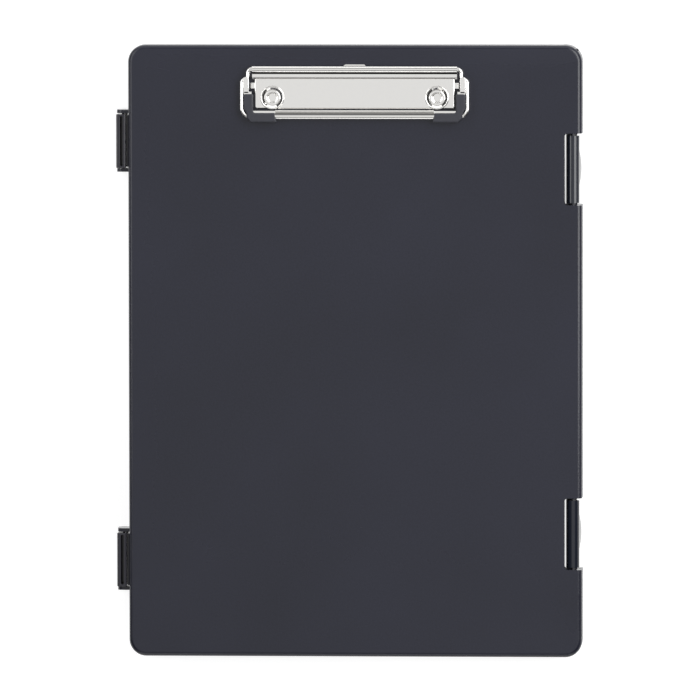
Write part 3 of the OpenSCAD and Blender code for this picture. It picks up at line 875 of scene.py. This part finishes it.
@dataclass
class TrayShell(CaseShell):
    """The tray: floor, walls, locating lip, hinge pockets and the four latch ears."""

    top_z: float = 13.3
    floor: float = 2.0
    skirt_z: float = 10.71
    foot_x: Pair = (112.1, 116.9)
    foot_play: float = 1.1
    lip_top: float = 14.5
    lip_root: float = 2.4
    lip_inset: float = 2.5
    lip: float = 1.0
    ear_x: float = -126.5
    ear_r: float = 3.0
    ear: float = 1.8
    ear_y: float = 15.5
    latch_axis: Pair = (-123.4, 3.2)

    def pocket(self, y: float) -> list[Maker]:
        """Makes the cutters of one hinge pocket: the slit, the space above the floor and the open side."""
        y0, y1 = y - self.notch_len / 2, y + self.notch_len / 2
        outer = self.half_w + 1
        return [box("cutter", (self.gutter_x, y0, -1.0), (self.foot_x[0] - self.foot_play, y1, 20.0)),
                box("cutter", (self.gutter_x, y0, self.floor), (outer, y1, 20.0)),
                box("cutter", (self.foot_x[1], y0, -1.0), (outer, y1, 20.0))]

    def rim_lip(self) -> Maker:
        """Makes the locating lip on the three sides away from the hinges."""
        root = self.top_z - self.lip_root
        x, y = self.half_w - self.lip_inset, self.half_l - self.lip_inset
        ring = Maker.plate("lip", (-x, -y, root), (x, y), self.lip_top - root, self.corner - self.lip_inset)
        ring.round_edges(level(self.lip_top), 0.35, 3)
        x, y = x - self.lip, y - self.lip
        inner = Maker.plate("cutter", (-x, -y, root - 1), (x, y), 9.0,
                            self.corner - self.lip_inset - self.lip)
        open_side = box("cutter", (self.store_x - 1, -self.half_l, 0.0), (130.0, self.half_l, 20.0))
        return ring.cut(inner, open_side)

    def latch_ear(self, y: float) -> Maker:
        """Makes one ear with round outer corners, centred on y."""
        y0, x, r = y - self.ear / 2, self.ear_x, self.ear_r
        root = -self.half_w + 1
        ear = Maker.point("ear", (root, y0, 0.0)).rise(y0, (x + r, 0.0))
        ear.arc((x + r, y0, r), Y_AXIS, 90, 10).rise(y0, (x, self.top_z - r))
        ear.arc((x + r, y0, self.top_z - r), Y_AXIS, 90, 10).rise(y0, (root, self.top_z), (root, 0.0))
        return ear.close().push((0.0, self.ear, 0.0)).outward()

    def build(self, dresser: Dresser) -> None:
        """Makes and dresses the tray."""
        shell = self.soft_block("tray_shell", self.top_z, 0.0)
        shell.cut(self.hollow(self.floor, 20.0), *self.gutters(self.floor, 20.0, self.wall))
        shell.cut(box("cutter", (self.gutter_x, -self.half_l - 1, self.skirt_z),
                      (self.half_w + 1, self.half_l + 1, 20.0)))
        for end in End:
            shell.cut(*self.pocket(end * self.hinge_y))
        shell.weld(self.rim_lip())
        for end in End:
            y = end * self.latch_y
            shell.weld(self.latch_ear(y - self.ear_y), self.latch_ear(y + self.ear_y))
            shell.cut(bar("cutter", (self.latch_axis[0], y - 20, self.latch_axis[1]), self.pin_r,
                          (0.0, 40.0, 0.0), 24))
        dresser.place(shell.soften(0.3), Body.TRAY, Slot.CASE, "tray")


@dataclass
class HingeKnuckle(CaseShell):
    """A smooth barrel on a web, with a bowed foot that stands on the tray floor."""

    axis_z: float = 16.8
    barrel_r: float = 3.2
    length: float = 35.6
    web: float = 1.6
    foot_x: Pair = (112.1, 116.9)
    foot_z: Pair = (2.0, 13.0)
    bow_out: float = 2.2
    bow_half: float = 13.0
    bow_top: float = 0.765
    bore: float = 1.05

    def section(self) -> Maker:
        """Makes the barrel, the web and the straight foot from their section, about Y = 0."""
        y = -self.length / 2
        left, right = self.hinge_x - self.web, self.hinge_x + self.web
        neck = self.axis_z - math.sqrt(self.barrel_r ** 2 - self.web ** 2)
        low, high = self.foot_z
        part = Maker.point("knuckle", (self.foot_x[0], y, low))
        part.rise(y, (self.foot_x[0], high), (left, high), (left, neck))
        turn = 360 - 2 * math.degrees(math.asin(self.web / self.barrel_r))
        part.arc((self.hinge_x, y, self.axis_z), Y_AXIS, turn, 56)
        part.rise(y, (right, low), (self.foot_x[0], low))
        return part.close().push((0.0, self.length, 0.0)).outward()

    def bow(self) -> Maker:
        """Makes the bowed front of the foot, drawn in towards its top."""
        radius = (self.bow_half ** 2 + self.bow_out ** 2) / (2 * self.bow_out)
        x, z = self.foot_x[1], self.foot_z[0]
        root = self.foot_x[0] + 2
        sweep = 2 * math.degrees(math.asin(self.bow_half / radius))
        bow = Maker.point("bow", (root, -self.bow_half, z)).line((x, -self.bow_half, z))
        bow.arc((x + self.bow_out - radius, 0.0, z), Z_AXIS, sweep, 32)
        bow.line((root, self.bow_half, z), (root, -self.bow_half, z))
        bow.close().push((0.0, 0.0, self.foot_z[1] - z))
        bpy.ops.transform.resize(value=(self.bow_top, 1.0, 1.0), center_override=(root * MM, 0.0, 0.0))
        return bow.outward()

    def build(self, dresser: Dresser) -> None:
        """Makes the knuckle once, and dresses a copy at each hinge."""
        first = self.section().weld(self.bow())
        first.cut(bar("cutter", (self.hinge_x, -30.0, self.axis_z), self.bore, (0.0, 60.0, 0.0), 32))
        first.soften(0.3, 3)
        dresser.both_ends(first, "knuckle", self.hinge_y, {end: Body.TRAY for end in End}, Slot.HINGE,
                          "hinge_knuckle")


@dataclass
class LatchLever:
    """A lever with a deep nail slot along its top and a nose that hooks over the catch."""

    axis: Pair = (-123.4, 3.2)
    latch_y: float = 111.0
    length: float = 28.4
    hub_r: float = 2.2
    outer: float = -3.1
    inner: float = 1.1
    nose: float = 2.104
    nose_z: Pair = (12.8, 14.2)
    top: float = 14.3
    top_bevel: float = 0.8
    nose_bevel: Pair = (0.6, 0.5)
    back: tuple[Pair, Pair] = ((-3.1, 2.8), (-2.05, 0.798))
    hub_turn: float = 261.3
    slot_x: float = -1.05
    slot_w: float = 1.5
    slot_len: float = 26.4
    slot_depth: float = 8.0
    bore: float = 1.05

    def at(self, x: float, y: float, z: float) -> Triple:
        """Gives the place of a point measured from the lever's axis."""
        return (self.axis[0] + x, y, self.axis[1] + z)

    def section(self) -> Maker:
        """Makes the lever from its section, about Y = 0."""
        y = -self.length / 2
        hub_in = math.sqrt(self.hub_r ** 2 - self.inner ** 2)
        lever = Maker.point("lever", self.at(self.inner, y, hub_in))
        low, high = self.nose_z
        in_x, in_z = self.nose_bevel
        bevel = self.top_bevel
        outline = [(self.inner, low), (self.nose, low), (self.nose, high - in_z),
                   (self.nose - in_x, self.top), (self.outer + bevel, self.top),
                   (self.outer, self.top - bevel), *self.back]
        lever.line(*(self.at(x, y, z) for x, z in outline))
        lever.arc(self.at(0.0, y, 0.0), Y_AXIS, -self.hub_turn, 30)
        return lever.close().push((0.0, self.length, 0.0)).outward()

    def nail_slot(self) -> Maker:
        """Makes the cutter of the nail slot, with round ends."""
        x = self.axis[0] + self.slot_x
        z = self.axis[1] + self.top - self.slot_depth
        half = self.slot_len / 2
        return Maker.plate("cutter", (x, -half, z), (x + self.slot_w, half), self.slot_depth + 1,
                           self.slot_w / 2 - 0.01, steps=8)

    def build(self, dresser: Dresser) -> None:
        """Makes the lever once, and dresses a copy at each latch."""
        first = self.section().cut(self.nail_slot())
        first.cut(bar("cutter", self.at(0.0, -20.0, 0.0), self.bore, (0.0, 40.0, 0.0), 24))
        first.soften(0.28, 3)
        bodies = {End.UPPER: Body.UPPER_LEVER, End.LOWER: Body.LOWER_LEVER}
        dresser.both_ends(first, "lever", self.latch_y, bodies, Slot.LATCH, "latch")


# The clip


@dataclass
class ClipBase:
    """The plated base of the clip: pressed flat, bead, rolled back edge and rivet seats."""

    sheet: float = 0.55
    face_z: float = 20.0
    flat_z: float = 21.0
    flat_y: Pair = (128.2, 144.1)
    flat_half: float = 53.15
    rim_r: float = 0.8
    back_half: float = 54.1
    bead_y: float = 145.9
    bead_shape: tuple[Pair, ...] = (
        (-1.6, 0.0), (-1.15, 0.68), (-0.75, 0.86), (0.0, 0.93), (0.75, 0.86), (1.15, 0.68), (1.6, 0.0))
    curl: Pair = (149.4, 22.7)
    curl_turn: float = 288.0
    ear_x: float = 55.0
    ear_y: float = 139.2
    ear_len: float = 3.0
    ear_root: float = 2.4
    ear_fold: float = 0.6
    rivet: Pair = (43.5, 134.3)
    seat_r: Triple = (4.6, 5.6, 6.3)
    shank_hole: float = 3.05
    peg: Pair = (147.4, 1.1)

    def pressed_flat(self) -> Maker:
        """Makes the flat, with its front and side edges rolled down, and its holes for the seats."""
        mid_z, half = self.flat_z + self.sheet / 2, self.flat_half - self.sheet / 2
        front, back = self.flat_y[0] + self.sheet / 2, self.flat_y[1] + 0.2
        low = self.face_z + 0.3
        pan = Maker.plate("clip_flat", (-half, front, low), (half, back), mid_z - low, 1.3,
                          lambda place: place.y < self.flat_y[1], 6)
        pan.round_edges(lambda a, b: near(a.z, mid_z) and near(b.z, mid_z) and min(a.y, b.y) < back - 0.1,
                        self.rim_r, 6)
        pan.pick_faces(lambda middle, normal: normal.z < -0.9 or normal.y > 0.9)
        bpy.ops.mesh.delete(type="FACE")
        pan.thicken(self.sheet)
        for side in Side:
            pan.cut(bar("cutter", (side * self.rivet[0], self.rivet[1], self.flat_z - 2),
                        self.seat_r[1] + 0.2, (0.0, 0.0, 4.0), 64))
        return pan

    def rolled_back(self) -> Maker:
        """Makes the back of the sheet: the bead across it, and the roll that holds the wire."""
        x, mid_z = -self.back_half, self.flat_z + self.sheet / 2
        strip = Maker.point("clip_back", (x, self.flat_y[1], mid_z))
        strip.line(*((x, self.bead_y + across, mid_z + rise) for across, rise in self.bead_shape))
        strip.line((x, self.curl[0], mid_z)).arc((x, *self.curl), X_AXIS, self.curl_turn, 40)
        return strip.everything().push((2 * self.back_half, 0.0, 0.0)).thicken(self.sheet)

    def side_ear(self, side: Side) -> Maker:
        """Makes one side ear, folded down to the writing face."""
        x, y, z = self.ear_x, self.ear_y, self.flat_z + self.sheet / 2
        fold = self.ear_fold
        ear = Maker.point("clip_ear", (side * (x - self.ear_root), y, z)).rise(y, (side * (x - fold), z))
        ear.arc((side * (x - fold), y, z - fold), Y_AXIS, side * 90, 5).rise(y, (side * x, self.face_z))
        return ear.everything().push((0.0, self.ear_len, 0.0)).outward().thicken(self.sheet)

    def rivet_seat(self, side: Side) -> Maker:
        """Makes one pressed seat, with a raised ring round it, from its section."""
        x, y = side * self.rivet[0], self.rivet[1]
        inner, rim, ring = self.seat_r
        top = self.flat_z + self.sheet
        floor = self.face_z + self.sheet
        seat = Maker.point("clip_seat", (x + self.shank_hole, y, self.face_z))
        seat.rise(y, (x + inner, self.face_z), (x + rim, self.flat_z), (x + ring, self.flat_z), (x + ring, top))
        seat.arc((x + ring - 0.45, y, top - 0.1), Y_AXIS, -156, 8)
        seat.rise(y, (x + inner - 0.3, floor + 0.25), (x + inner - 0.5, floor), (x + self.shank_hole, floor),
                  (x + self.shank_hole, self.face_z))
        return seat.revolve((x, y, 0.0))

    def build(self, dresser: Dresser) -> None:
        """Makes and dresses the base."""
        base = self.pressed_flat()
        peg = bar("clip_peg", (0.0, self.peg[0], self.face_z), self.peg[1], (0.0, 0.0, 1.2), 24)
        base.absorb(self.rolled_back(), *(self.side_ear(side) for side in Side),
                    *(self.rivet_seat(side) for side in Side), peg)
        base.obj.name = "clip_base"
        dresser.place(base.soften(0.12, 2, 50.0), Body.LID, Slot.NICKEL, "clip_plate")


@dataclass
class ClipRivet:
    """A tubular rivet whose mouth is rolled over the seat, and closed by a cup."""

    rivet: Pair = (43.5, 134.3)
    seat_z: float = 20.55
    back_z: float = 17.2
    shank: float = 3.0
    bore: float = 2.5
    head: float = 4.2
    head_t: float = 0.7
    sheet: float = 0.6
    cup_z: float = 19.7
    cup_r: float = 0.5
    clinch: float = 4.0

    def eyelet(self) -> Maker:
        """Makes the rivet on the +X side from its section."""
        x, y = self.rivet
        crest = self.seat_z + self.head_t
        low, bore = self.back_z - self.sheet, x + self.bore
        part = Maker.point("rivet", (x, y, self.cup_z - self.sheet))
        part.rise(y, (bore, self.cup_z - self.sheet), (bore, low), (x + self.clinch, low),
                  (x + self.clinch, self.back_z), (x + self.shank, self.back_z),
                  (x + self.shank, self.seat_z), (x + self.head, self.seat_z))
        part.arc((x + self.head - 0.35, y, self.seat_z), Y_AXIS, -90, 6)
        part.rise(y, (bore + self.sheet, crest - 0.35))
        part.arc((bore + self.sheet, y, crest - 0.95), Y_AXIS, -90, 8).rise(y, (bore, self.cup_z + self.cup_r))
        part.arc((bore - self.cup_r, y, self.cup_z + self.cup_r), Y_AXIS, 90, 5).rise(y, (x, self.cup_z + 0.08))
        return part.revolve((x, y, 0.0))

    def build(self, dresser: Dresser) -> None:
        """Makes the rivet once, and dresses it and its mirror image."""
        right = self.eyelet().soften(0.1, 2, 50.0)
        left = right.copy("rivet_left", FLIP_X).soften(0.001)
        right.obj.name = "rivet_right"
        dresser.place(right, Body.LID, Slot.NICKEL, "clip_rivet_right")
        dresser.place(left, Body.LID, Slot.NICKEL, "clip_rivet_left")


@dataclass
class SpringWire:
    """The wire of the clip, from inside the rolled edge round the front bar."""

    radius: float = 1.1
    axis: Pair = (149.4, 22.7)
    tail: float = 16.0
    exit_x: float = 54.2
    exit_r: float = 2.2
    drop: float = 1.8
    arm_x: float = 59.5
    front_y: float = 124.6
    corner_r: float = 4.0

    def half(self) -> Maker:
        """Makes the half on the +X side, ending open at the middle of the front bar."""
        y, z = self.axis
        crank = (self.arm_x - self.exit_x - self.exit_r) / 2
        crank_x = self.arm_x - crank
        leg_y = y - self.exit_r
        crank_y = leg_y - self.drop
        arm_y = crank_y - 2 * crank
        corner_y = self.front_y + self.corner_r
        wire = Maker.disc("clip_wire_bent", (self.exit_x - self.tail, y, z), self.radius, X_AXIS, 28)
        wire.push((self.tail, 0.0, 0.0)).arc((self.exit_x, leg_y, z), Z_AXIS, -90, 14)
        wire.push((0.0, -self.drop, 0.0)).arc((crank_x, crank_y, z), Z_AXIS, 90, 10)
        wire.arc((crank_x, arm_y, z), Z_AXIS, -90, 10).push((0.0, corner_y - arm_y, 0.0))
        wire.arc((self.arm_x - self.corner_r, corner_y, z), Z_AXIS, -90, 16)
        wire.push((-self.arm_x + self.corner_r, 0.0, 0.0))
        bpy.ops.mesh.delete(type="ONLY_FACE")
        return wire

    def build(self, dresser: Dresser) -> None:
        """Makes and dresses the wire."""
        wire = self.half().mirror()
        wire.edit().outward()
        dresser.place(wire.soften(0.25, 3, 70.0), Body.BAIL, Slot.NICKEL, "clip_wire")


@dataclass
class JawBar:
    """The jaw: sheet rolled over the front of the wire, with a bracket to each rubber corner."""

    wire_y: float = 124.6
    wire_z: float = 22.7
    roll_r: float = 1.425
    sheet: float = 0.55
    half: float = 41.8
    slant: float = 1.1
    foot_z: float = 20.575
    foot: float = 1.3
    toe_r: float = 0.4
    wing_y: float = 127.7
    wing_z: float = 23.0
    wing_angle: float = 74.0
    wing_centre: Pair = (123.317, 18.225)
    wing_turn: float = 21.9
    hem_r: float = 0.32
    strip_x: Pair = (40.8, 55.2)
    strip_y: Pair = (125.85, 127.45)
    strip_z: float = 22.8
    riser_x: Pair = (54.4, 55.6)
    riser_back: float = 129.65
    arm_x: float = 58.2
    arm_front: float = 128.35
    arm_z: float = 23.9
    lug_x: Pair = (55.7, 58.8)
    lug_y: Pair = (136.6, 145.4)
    lug_r: Pair = (1.35, 0.3)

    def rolled_bar(self) -> Maker:
        """Makes the bar from its section, with slanted ends."""
        x, y = -self.half - 1, self.wire_y
        back, toe, hem = y - self.roll_r, self.toe_r, self.hem_r
        bar_sheet = Maker.point("jaw_bar", (x, back + toe + self.foot, self.foot_z))
        bar_sheet.line((x, back + toe, self.foot_z)).arc((x, back + toe, self.foot_z + toe), X_AXIS, -90, 5)
        bar_sheet.line((x, back, self.wire_z)).arc((x, y, self.wire_z), X_AXIS, -(180 - self.wing_angle), 18)
        bar_sheet.arc((x, *self.wing_centre), X_AXIS, -self.wing_turn, 8)
        bar_sheet.line((x, self.wing_y - 2 * hem, self.wing_z))
        bar_sheet.arc((x, self.wing_y - hem, self.wing_z), X_AXIS, -150, 8)
        bar_sheet.everything().push((2 * self.half + 2, 0.0, 0.0))
        for side in Side:
            bar_sheet.everything()
            normal = Vector((self.wing_y - back, side * self.slant, 0.0)).normalized() * side
            bpy.ops.mesh.bisect(plane_co=Vector((side * self.half, self.wing_y, 0.0)) * MM,
                                plane_no=normal, clear_outer=True)
        return bar_sheet.thicken(self.sheet)

    def bracket(self) -> Maker:
        """Makes the bracket on the +X side: a strip, a riser and the lug that lies on the wire."""
        (x0, x1), (y0, y1), top = self.strip_x, self.strip_y, self.arm_z + self.sheet
        low, high = self.strip_z - self.sheet / 2, self.strip_z + self.sheet / 2
        strip = box("jaw_strip", (x0, y0, low), (x1, y1, high))
        riser = box("jaw_riser", (self.riser_x[0], y0, low), (self.riser_x[1], self.riser_back, top))
        (x0, x1), (y0, y1), (corner_r, edge_r) = self.lug_x, self.lug_y, self.lug_r
        lug = Maker.plate("jaw_lug", (self.riser_x[0], self.arm_front, self.arm_z), (self.arm_x, y0 + 1),
                          self.sheet)
        tip = Maker.plate("jaw_tip", (x0, y0, self.arm_z), (x1, y1), self.sheet, corner_r,
                          lambda place: place.y > y0 + 1, 8)
        tip.round_edges(level(top), edge_r, 4)
        return strip.absorb(riser, lug, tip)

    def build(self, dresser: Dresser) -> None:
        """Makes and dresses the jaw."""
        bracket = self.bracket()
        jaw = self.rolled_bar().absorb(bracket.copy("jaw_twin", FLIP_X), bracket)
        dresser.place(jaw.soften(0.12, 2, 50.0), Body.BAIL, Slot.NICKEL, "clip_jaw")


@dataclass
class RubberCorner:
    """The rubber corner moulded round the bend of the wire and the bracket of the jaw."""

    outline: tuple[Pair, ...] = (
        (42.2, 126.3), (41.1, 121.3), (54.72, 121.3), (57.02, 123.5), (57.02, 125.9), (58.62, 128.8),
        (58.62, 136.6), (53.55, 136.6), (53.55, 126.3), (42.2, 126.3))
    corner_r: float = 1.1
    top_r: float = 0.9
    z: Pair = (20.3, 24.75)

    def build(self, dresser: Dresser) -> None:
        """Makes the right corner, and dresses it and its mirror image."""
        low, high = self.z
        start, *rest = ((x, y, low) for x, y in self.outline)
        rounded = self.outline[-4:-1]
        pad = Maker.point("corner_rubber_right", start).line(*rest).close()
        pad.round_corners(lambda p: any(near(p.x, x) and near(p.y, y) for x, y in rounded), self.corner_r)
        bpy.ops.mesh.select_mode(type="FACE")
        pad.everything().push((0.0, 0.0, high - low)).outward()
        pad.round_edges(level(high), self.top_r, 5)
        pad.soften(0.3, 2, 35.0)
        left = pad.copy("corner_rubber_left", FLIP_X).soften(0.001, 1, 80.0)
        dresser.place(pad, Body.BAIL, Slot.RUBBER, "clip_corner_right")
        dresser.place(left, Body.BAIL, Slot.RUBBER, "clip_corner_left")


@dataclass
class HangingTab:
    """The pull-out steel strip under the clip, with one long slot."""

    half: float = 6.0
    y: Pair = (128.6, 151.9)
    z: float = 20.15
    thickness: float = 0.7
    slot_half: float = 2.5
    slot_y: Pair = (129.25, 150.3)

    def build(self, dresser: Dresser) -> None:
        """Makes and dresses the tab."""
        tab = Maker.plate("hanging_tab", (-self.half, self.y[0], self.z), (self.half, self.y[1]),
                          self.thickness, 1.5, lambda place: place.y > self.slot_y[1])
        tab.cut(Maker.plate("cutter", (-self.slot_half, self.slot_y[0], self.z - 1),
                            (self.slot_half, self.slot_y[1]), 3.0, self.slot_half - 0.01, steps=10))
        dresser.place(tab.soften(0.12), Body.HANGER, Slot.NICKEL, "hanger_tab")


# Studio


@dataclass
class Studio:
    """Camera, floor, world and lights."""

    mm_per_px: float = 0.5284
    frame_px: int = 700
    lid_center_px: Pair = (355.05, 351.6)
    distance: float = 6.0
    tilt_up: float = 3.9
    tilt_right: float = 3.0
    sensor: float = 36.0
    floor_tone: float = 0.4
    floor_glow: float = 0.86
    floor_mirrored: float = 0.92
    sky_plain: float = 0.05
    sky_low_high: Pair = (0.06, 0.85)
    sky_from_to: Pair = (0.72, 0.975)
    LAMPS: ClassVar[tuple] = (
        ("softbox_left", (-1.15, 0.70, 0.965), (1.7, 0.75), 12.0),
        ("softbox_right", (1.0, 0.70, 1.11), (1.7, 1.1), 29.0),
        ("panel_back", (0.0, 1.32, 0.42), (1.6, 0.75), 4.9),
        ("strip_front", (0.0, -1.35, 0.5), (1.6, 0.7), 5.4),
    )

    def camera(self) -> None:
        """Makes the camera, far off and a little above and to the right of the case."""
        lo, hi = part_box("lid")
        half = self.frame_px / 2
        aim = Vector((
            (lo.x + hi.x) / 2 + (half - self.lid_center_px[0]) * self.mm_per_px * MM,
            (lo.y + hi.y) / 2 - (half - self.lid_center_px[1]) * self.mm_per_px * MM,
            hi.z,
        ))
        across, along = math.radians(self.tilt_right), math.radians(self.tilt_up)
        back = Vector((math.tan(across), math.tan(along), 1.0)).normalized()
        data = bpy.data.cameras.new("camera")
        data.sensor_width = self.sensor
        data.lens = self.sensor * self.distance / (self.frame_px * self.mm_per_px * MM)
        data.clip_end = 50.0
        cam = bpy.data.objects.new("camera", data)
        # The tilt skews the case a little, which is shared between its long and short sides
        upright = (2 * Vector(Y_AXIS).cross(back).normalized() + Vector(X_AXIS)).normalized()
        up = back.cross(upright).normalized()
        side = up.cross(back).normalized()
        turn = Matrix((side, up, back)).transposed().to_4x4()
        cam.matrix_world = Matrix.Translation(aim + back * self.distance) @ turn
        bpy.context.scene.collection.objects.link(cam)
        bpy.context.scene.camera = cam

    def floor(self) -> None:
        """Makes the pale floor, white to the camera where nothing shades it."""
        bpy.ops.object.select_all(action="DESELECT")
        bpy.ops.mesh.primitive_plane_add(size=40.0, location=(0.0, 0.0, -0.0002))
        plane = bpy.context.object
        plane.name = "floor"
        material = bpy.data.materials.new("floor_pale")
        material.use_nodes = True
        g = Graph(material.node_tree)
        g.tree.nodes.clear()
        path = g.add("ShaderNodeLightPath").outputs
        direct = g.math("MULTIPLY", path["Is Camera Ray"], self.floor_glow)
        mirrored = g.math("MULTIPLY", path["Is Glossy Ray"], self.floor_mirrored)
        diffuse = g.add("ShaderNodeBsdfDiffuse", Color=(*[self.floor_tone] * 3, 1.0))
        glow = g.add("ShaderNodeEmission", Color=WHITE, Strength=g.math("ADD", direct, mirrored))
        both = g.add("ShaderNodeAddShader")
        g.feed(both.inputs[0], diffuse.outputs[0])
        g.feed(both.inputs[1], glow.outputs[0])
        g.add("ShaderNodeOutputMaterial", Surface=both.outputs[0])
        plane.data.materials.append(material)

    def world(self) -> None:
        """Makes the world: white to the camera, plain grey light, and brighter overhead in reflections."""
        world = bpy.data.worlds.new("studio")
        bpy.context.scene.world = world
        world.use_nodes = True
        g = Graph(world.node_tree)
        g.tree.nodes.clear()
        path = g.add("ShaderNodeLightPath").outputs
        height = g.add("ShaderNodeSeparateXYZ", Vector=g.add("ShaderNodeTexCoord").outputs["Generated"])
        overhead = g.ramp(height.outputs["Z"], *self.sky_from_to)
        low, high = self.sky_low_high
        mirrored = g.math("ADD", g.math("MULTIPLY", overhead, high - low), low)
        plain = g.math("MULTIPLY", g.math("SUBTRACT", 1.0, path["Is Glossy Ray"]), self.sky_plain)
        lit = g.math("ADD", g.math("MULTIPLY", mirrored, path["Is Glossy Ray"]), plain)
        seen = g.math("MAXIMUM", path["Is Camera Ray"], path["Is Transmission Ray"])
        hidden = g.math("MULTIPLY", lit, g.math("SUBTRACT", 1.0, seen))
        back = g.add("ShaderNodeBackground", Color=WHITE, Strength=g.math("ADD", hidden, seen))
        g.add("ShaderNodeOutputWorld", Surface=back.outputs[0])

    def light(self, name: str, place: tuple, size: tuple, power: float) -> None:
        """Adds a soft rectangular light that faces the case.

        Args:
            name: The light's name.
            place: Where it stands, in metres.
            size: Its two sides, in metres.
            power: Its power, in watts.
        """
        data = bpy.data.lights.new(name, "AREA")
        data.shape = "RECTANGLE"
        data.size, data.size_y = size
        data.energy = power
        lamp = bpy.data.objects.new(name, data)
        lamp.location = place
        lamp.rotation_mode = "QUATERNION"
        facing = Vector((place[0], 0.0, place[2])) if place[0] else Vector(place)
        lamp.rotation_quaternion = facing.to_track_quat("Z", "Y")
        bpy.context.scene.collection.objects.link(lamp)

    def build(self) -> None:
        """Makes the whole studio."""
        self.camera()
        self.floor()
        self.world()
        for lamp in self.LAMPS:
            self.light(*lamp)
        bpy.context.scene.view_settings.view_transform = "Standard"


def main() -> None:
    """Builds the studio, the finishes and the pieces."""
    logging.basicConfig(level=logging.INFO, format="%(name)s: %(message)s")
    Studio().build()
    effects = SharedEffects()
    dresser = Dresser({slot: finish.build(effects) for slot, finish in FINISHES.items()})
    dresser.carried_nodes()
    for part in (TrayShell(), LidShell(), HingeKnuckle(), LatchLever(), ClipBase(), ClipRivet(), SpringWire(),
                 JawBar(), RubberCorner(), HangingTab()):
        part.build(dresser)


if __name__ == "__main__":
    main()
